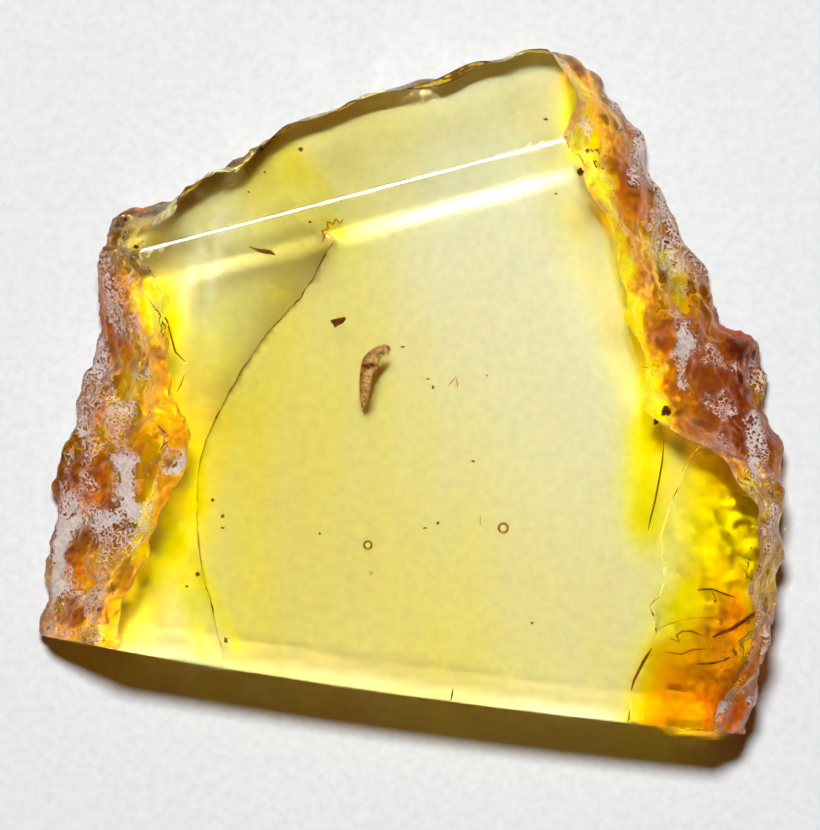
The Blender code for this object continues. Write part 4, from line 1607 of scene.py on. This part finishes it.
# The camera's sensor, in its own millimetres.
SENSOR_WIDTH = 36.0


def paper_material():
    """Pale matt paper with a faint grain."""
    material = new_material("paper")
    tree = material.node_tree
    shader = tree.nodes["Principled BSDF"]
    place = tree.nodes.new("ShaderNodeTexCoord").outputs["Object"]
    grain = noise_value(tree, place, PAPER_FINENESS, detail=2.0, roughness=0.6)
    tree.links.new(colour_ramp(tree, grain, PAPER_TINTS), shader.inputs["Base Color"])
    shader.inputs["Roughness"].default_value = 0.9
    shader.inputs["Specular IOR Level"].default_value = 0.1
    return material


def soft_fill(settings):
    """An even warm surround, with a stronger warm light low down for what has passed through the amber."""
    world = bpy.data.worlds.new("soft_fill")
    world.use_nodes = True
    tree = world.node_tree
    plain = tree.nodes["Background"]
    plain.inputs["Color"].default_value = FILL_COLOUR
    plain.inputs["Strength"].default_value = settings.sky_strength
    warm = add_node(tree, "ShaderNodeBackground", Color=WARM_COLOUR)
    pale = add_node(tree, "ShaderNodeBackground", Color=BACKDROP_COLOUR)
    direction = tree.nodes.new("ShaderNodeTexCoord")
    height = tree.nodes.new("ShaderNodeSeparateXYZ")
    tree.links.new(direction.outputs["Generated"], height.inputs[0])
    low = map_range(tree, height.outputs["Z"], 0.15, 0.7, settings.warm_strength, 0.02)
    tree.links.new(low, warm.inputs["Strength"])
    paths = tree.nodes.new("ShaderNodeLightPath")
    through = tree.nodes.new("ShaderNodeMixShader")
    seen = tree.nodes.new("ShaderNodeMixShader")
    tree.links.new(paths.outputs["Is Transmission Ray"], through.inputs[0])
    tree.links.new(plain.outputs[0], through.inputs[1])
    tree.links.new(warm.outputs[0], through.inputs[2])
    tree.links.new(paths.outputs["Is Camera Ray"], seen.inputs[0])
    tree.links.new(through.outputs[0], seen.inputs[1])
    tree.links.new(pale.outputs[0], seen.inputs[2])
    tree.links.new(seen.outputs[0], tree.nodes["World Output"].inputs["Surface"])
    return world


class AMBER_OT_stage(bpy.types.Operator):
    """Lays the pale paper and sets the light and the camera"""

    bl_idname = "insect_amber.stage"
    bl_label = "Stage"

    def execute(self, context):
        settings = context.scene.amber_stage
        scene = context.scene
        leave_edit_mode()
        bpy.ops.object.select_all(action="DESELECT")
        below = (0, 0, PAPER_LEVEL * MM)
        bpy.ops.mesh.primitive_grid_add(x_subdivisions=4, y_subdivisions=4, size=PAPER_SIZE, location=below)
        paper = context.object
        paper.name = "paper"
        bpy.ops.object.transform_apply(location=True, rotation=True, scale=True)
        paper.data.materials.append(paper_material())

        distance = LIGHT_DISTANCE
        tilt = settings.light_tilt
        aside = -math.tan(settings.light_aside) * distance
        place = Vector((aside, math.sin(tilt) * distance, math.cos(tilt) * distance))
        bpy.ops.object.light_add(type="AREA", location=place)
        key = context.object
        key.name = "key_light"
        key.data.shape = "ELLIPSE"
        key.data.size = 2 * distance * math.tan(settings.light_breadth)
        key.data.size_y = 2 * distance * math.tan(settings.light_spread)
        key.data.energy = settings.light_strength * math.pi * distance * distance
        key.rotation_euler = place.to_track_quat("Z", "Y").to_euler()

        scene.world = soft_fill(settings)

        middle = 0.5 * TOP_LEVEL * MM
        above = (*settings.view_centre, settings.camera_height)
        bpy.ops.object.camera_add(location=above, rotation=(0, 0, 0))
        camera = context.object
        camera.name = "camera"
        camera.data.sensor_fit = "HORIZONTAL"
        camera.data.sensor_width = SENSOR_WIDTH
        camera.data.lens = SENSOR_WIDTH * (settings.camera_height - middle) / settings.view_width
        camera.data.clip_start = 0.01
        scene.camera = camera
        scene.view_settings.view_transform = "Standard"
        scene.cycles.sample_clamp_indirect = 0.0
        scene.cycles.blur_glossy = 0.0
        scene.cycles.transmission_bounces = 16
        scene.cycles.max_bounces = 16
        return {"FINISHED"}


class AMBER_PT_panel(bpy.types.Panel):
    """Lists the steps that build the piece, in order"""

    bl_label = "Insect in amber"
    bl_idname = "AMBER_PT_panel"
    bl_space_type = "VIEW_3D"
    bl_region_type = "UI"
    bl_category = "Amber"

    def draw(self, context):
        layout = self.layout
        for operator in OPERATORS:
            layout.operator(operator.bl_idname)


SETTINGS = (
    ("amber_lump", LumpSettings),
    ("amber_bloom", BloomSettings),
    ("amber_insect", InsectSettings),
    ("amber_scraps", ScrapSettings),
    ("amber_dirt", DirtSettings),
    ("amber_stage", StageSettings),
)
OPERATORS = (AMBER_OT_lump, AMBER_OT_bloom, AMBER_OT_insect, AMBER_OT_scraps, AMBER_OT_dirt, AMBER_OT_stage)


def register():
    """Adds the settings, the steps and the panel to Blender."""
    for name, group in SETTINGS:
        bpy.utils.register_class(group)
        setattr(bpy.types.Scene, name, bpy.props.PointerProperty(type=group))
    for operator in OPERATORS:
        bpy.utils.register_class(operator)
    bpy.utils.register_class(AMBER_PT_panel)


def unregister():
    """Takes them out again."""
    bpy.utils.unregister_class(AMBER_PT_panel)
    for operator in reversed(OPERATORS):
        bpy.utils.unregister_class(operator)
    for name, group in reversed(SETTINGS):
        delattr(bpy.types.Scene, name)
        bpy.utils.unregister_class(group)


def main():
    """Builds everything in order."""
    register()
    bpy.ops.insect_amber.lump()
    bpy.ops.insect_amber.bloom()
    bpy.ops.insect_amber.insect()
    bpy.ops.insect_amber.scraps()
    bpy.ops.insect_amber.dirt()
    bpy.ops.insect_amber.stage()


if __name__ == "__main__":
    main()
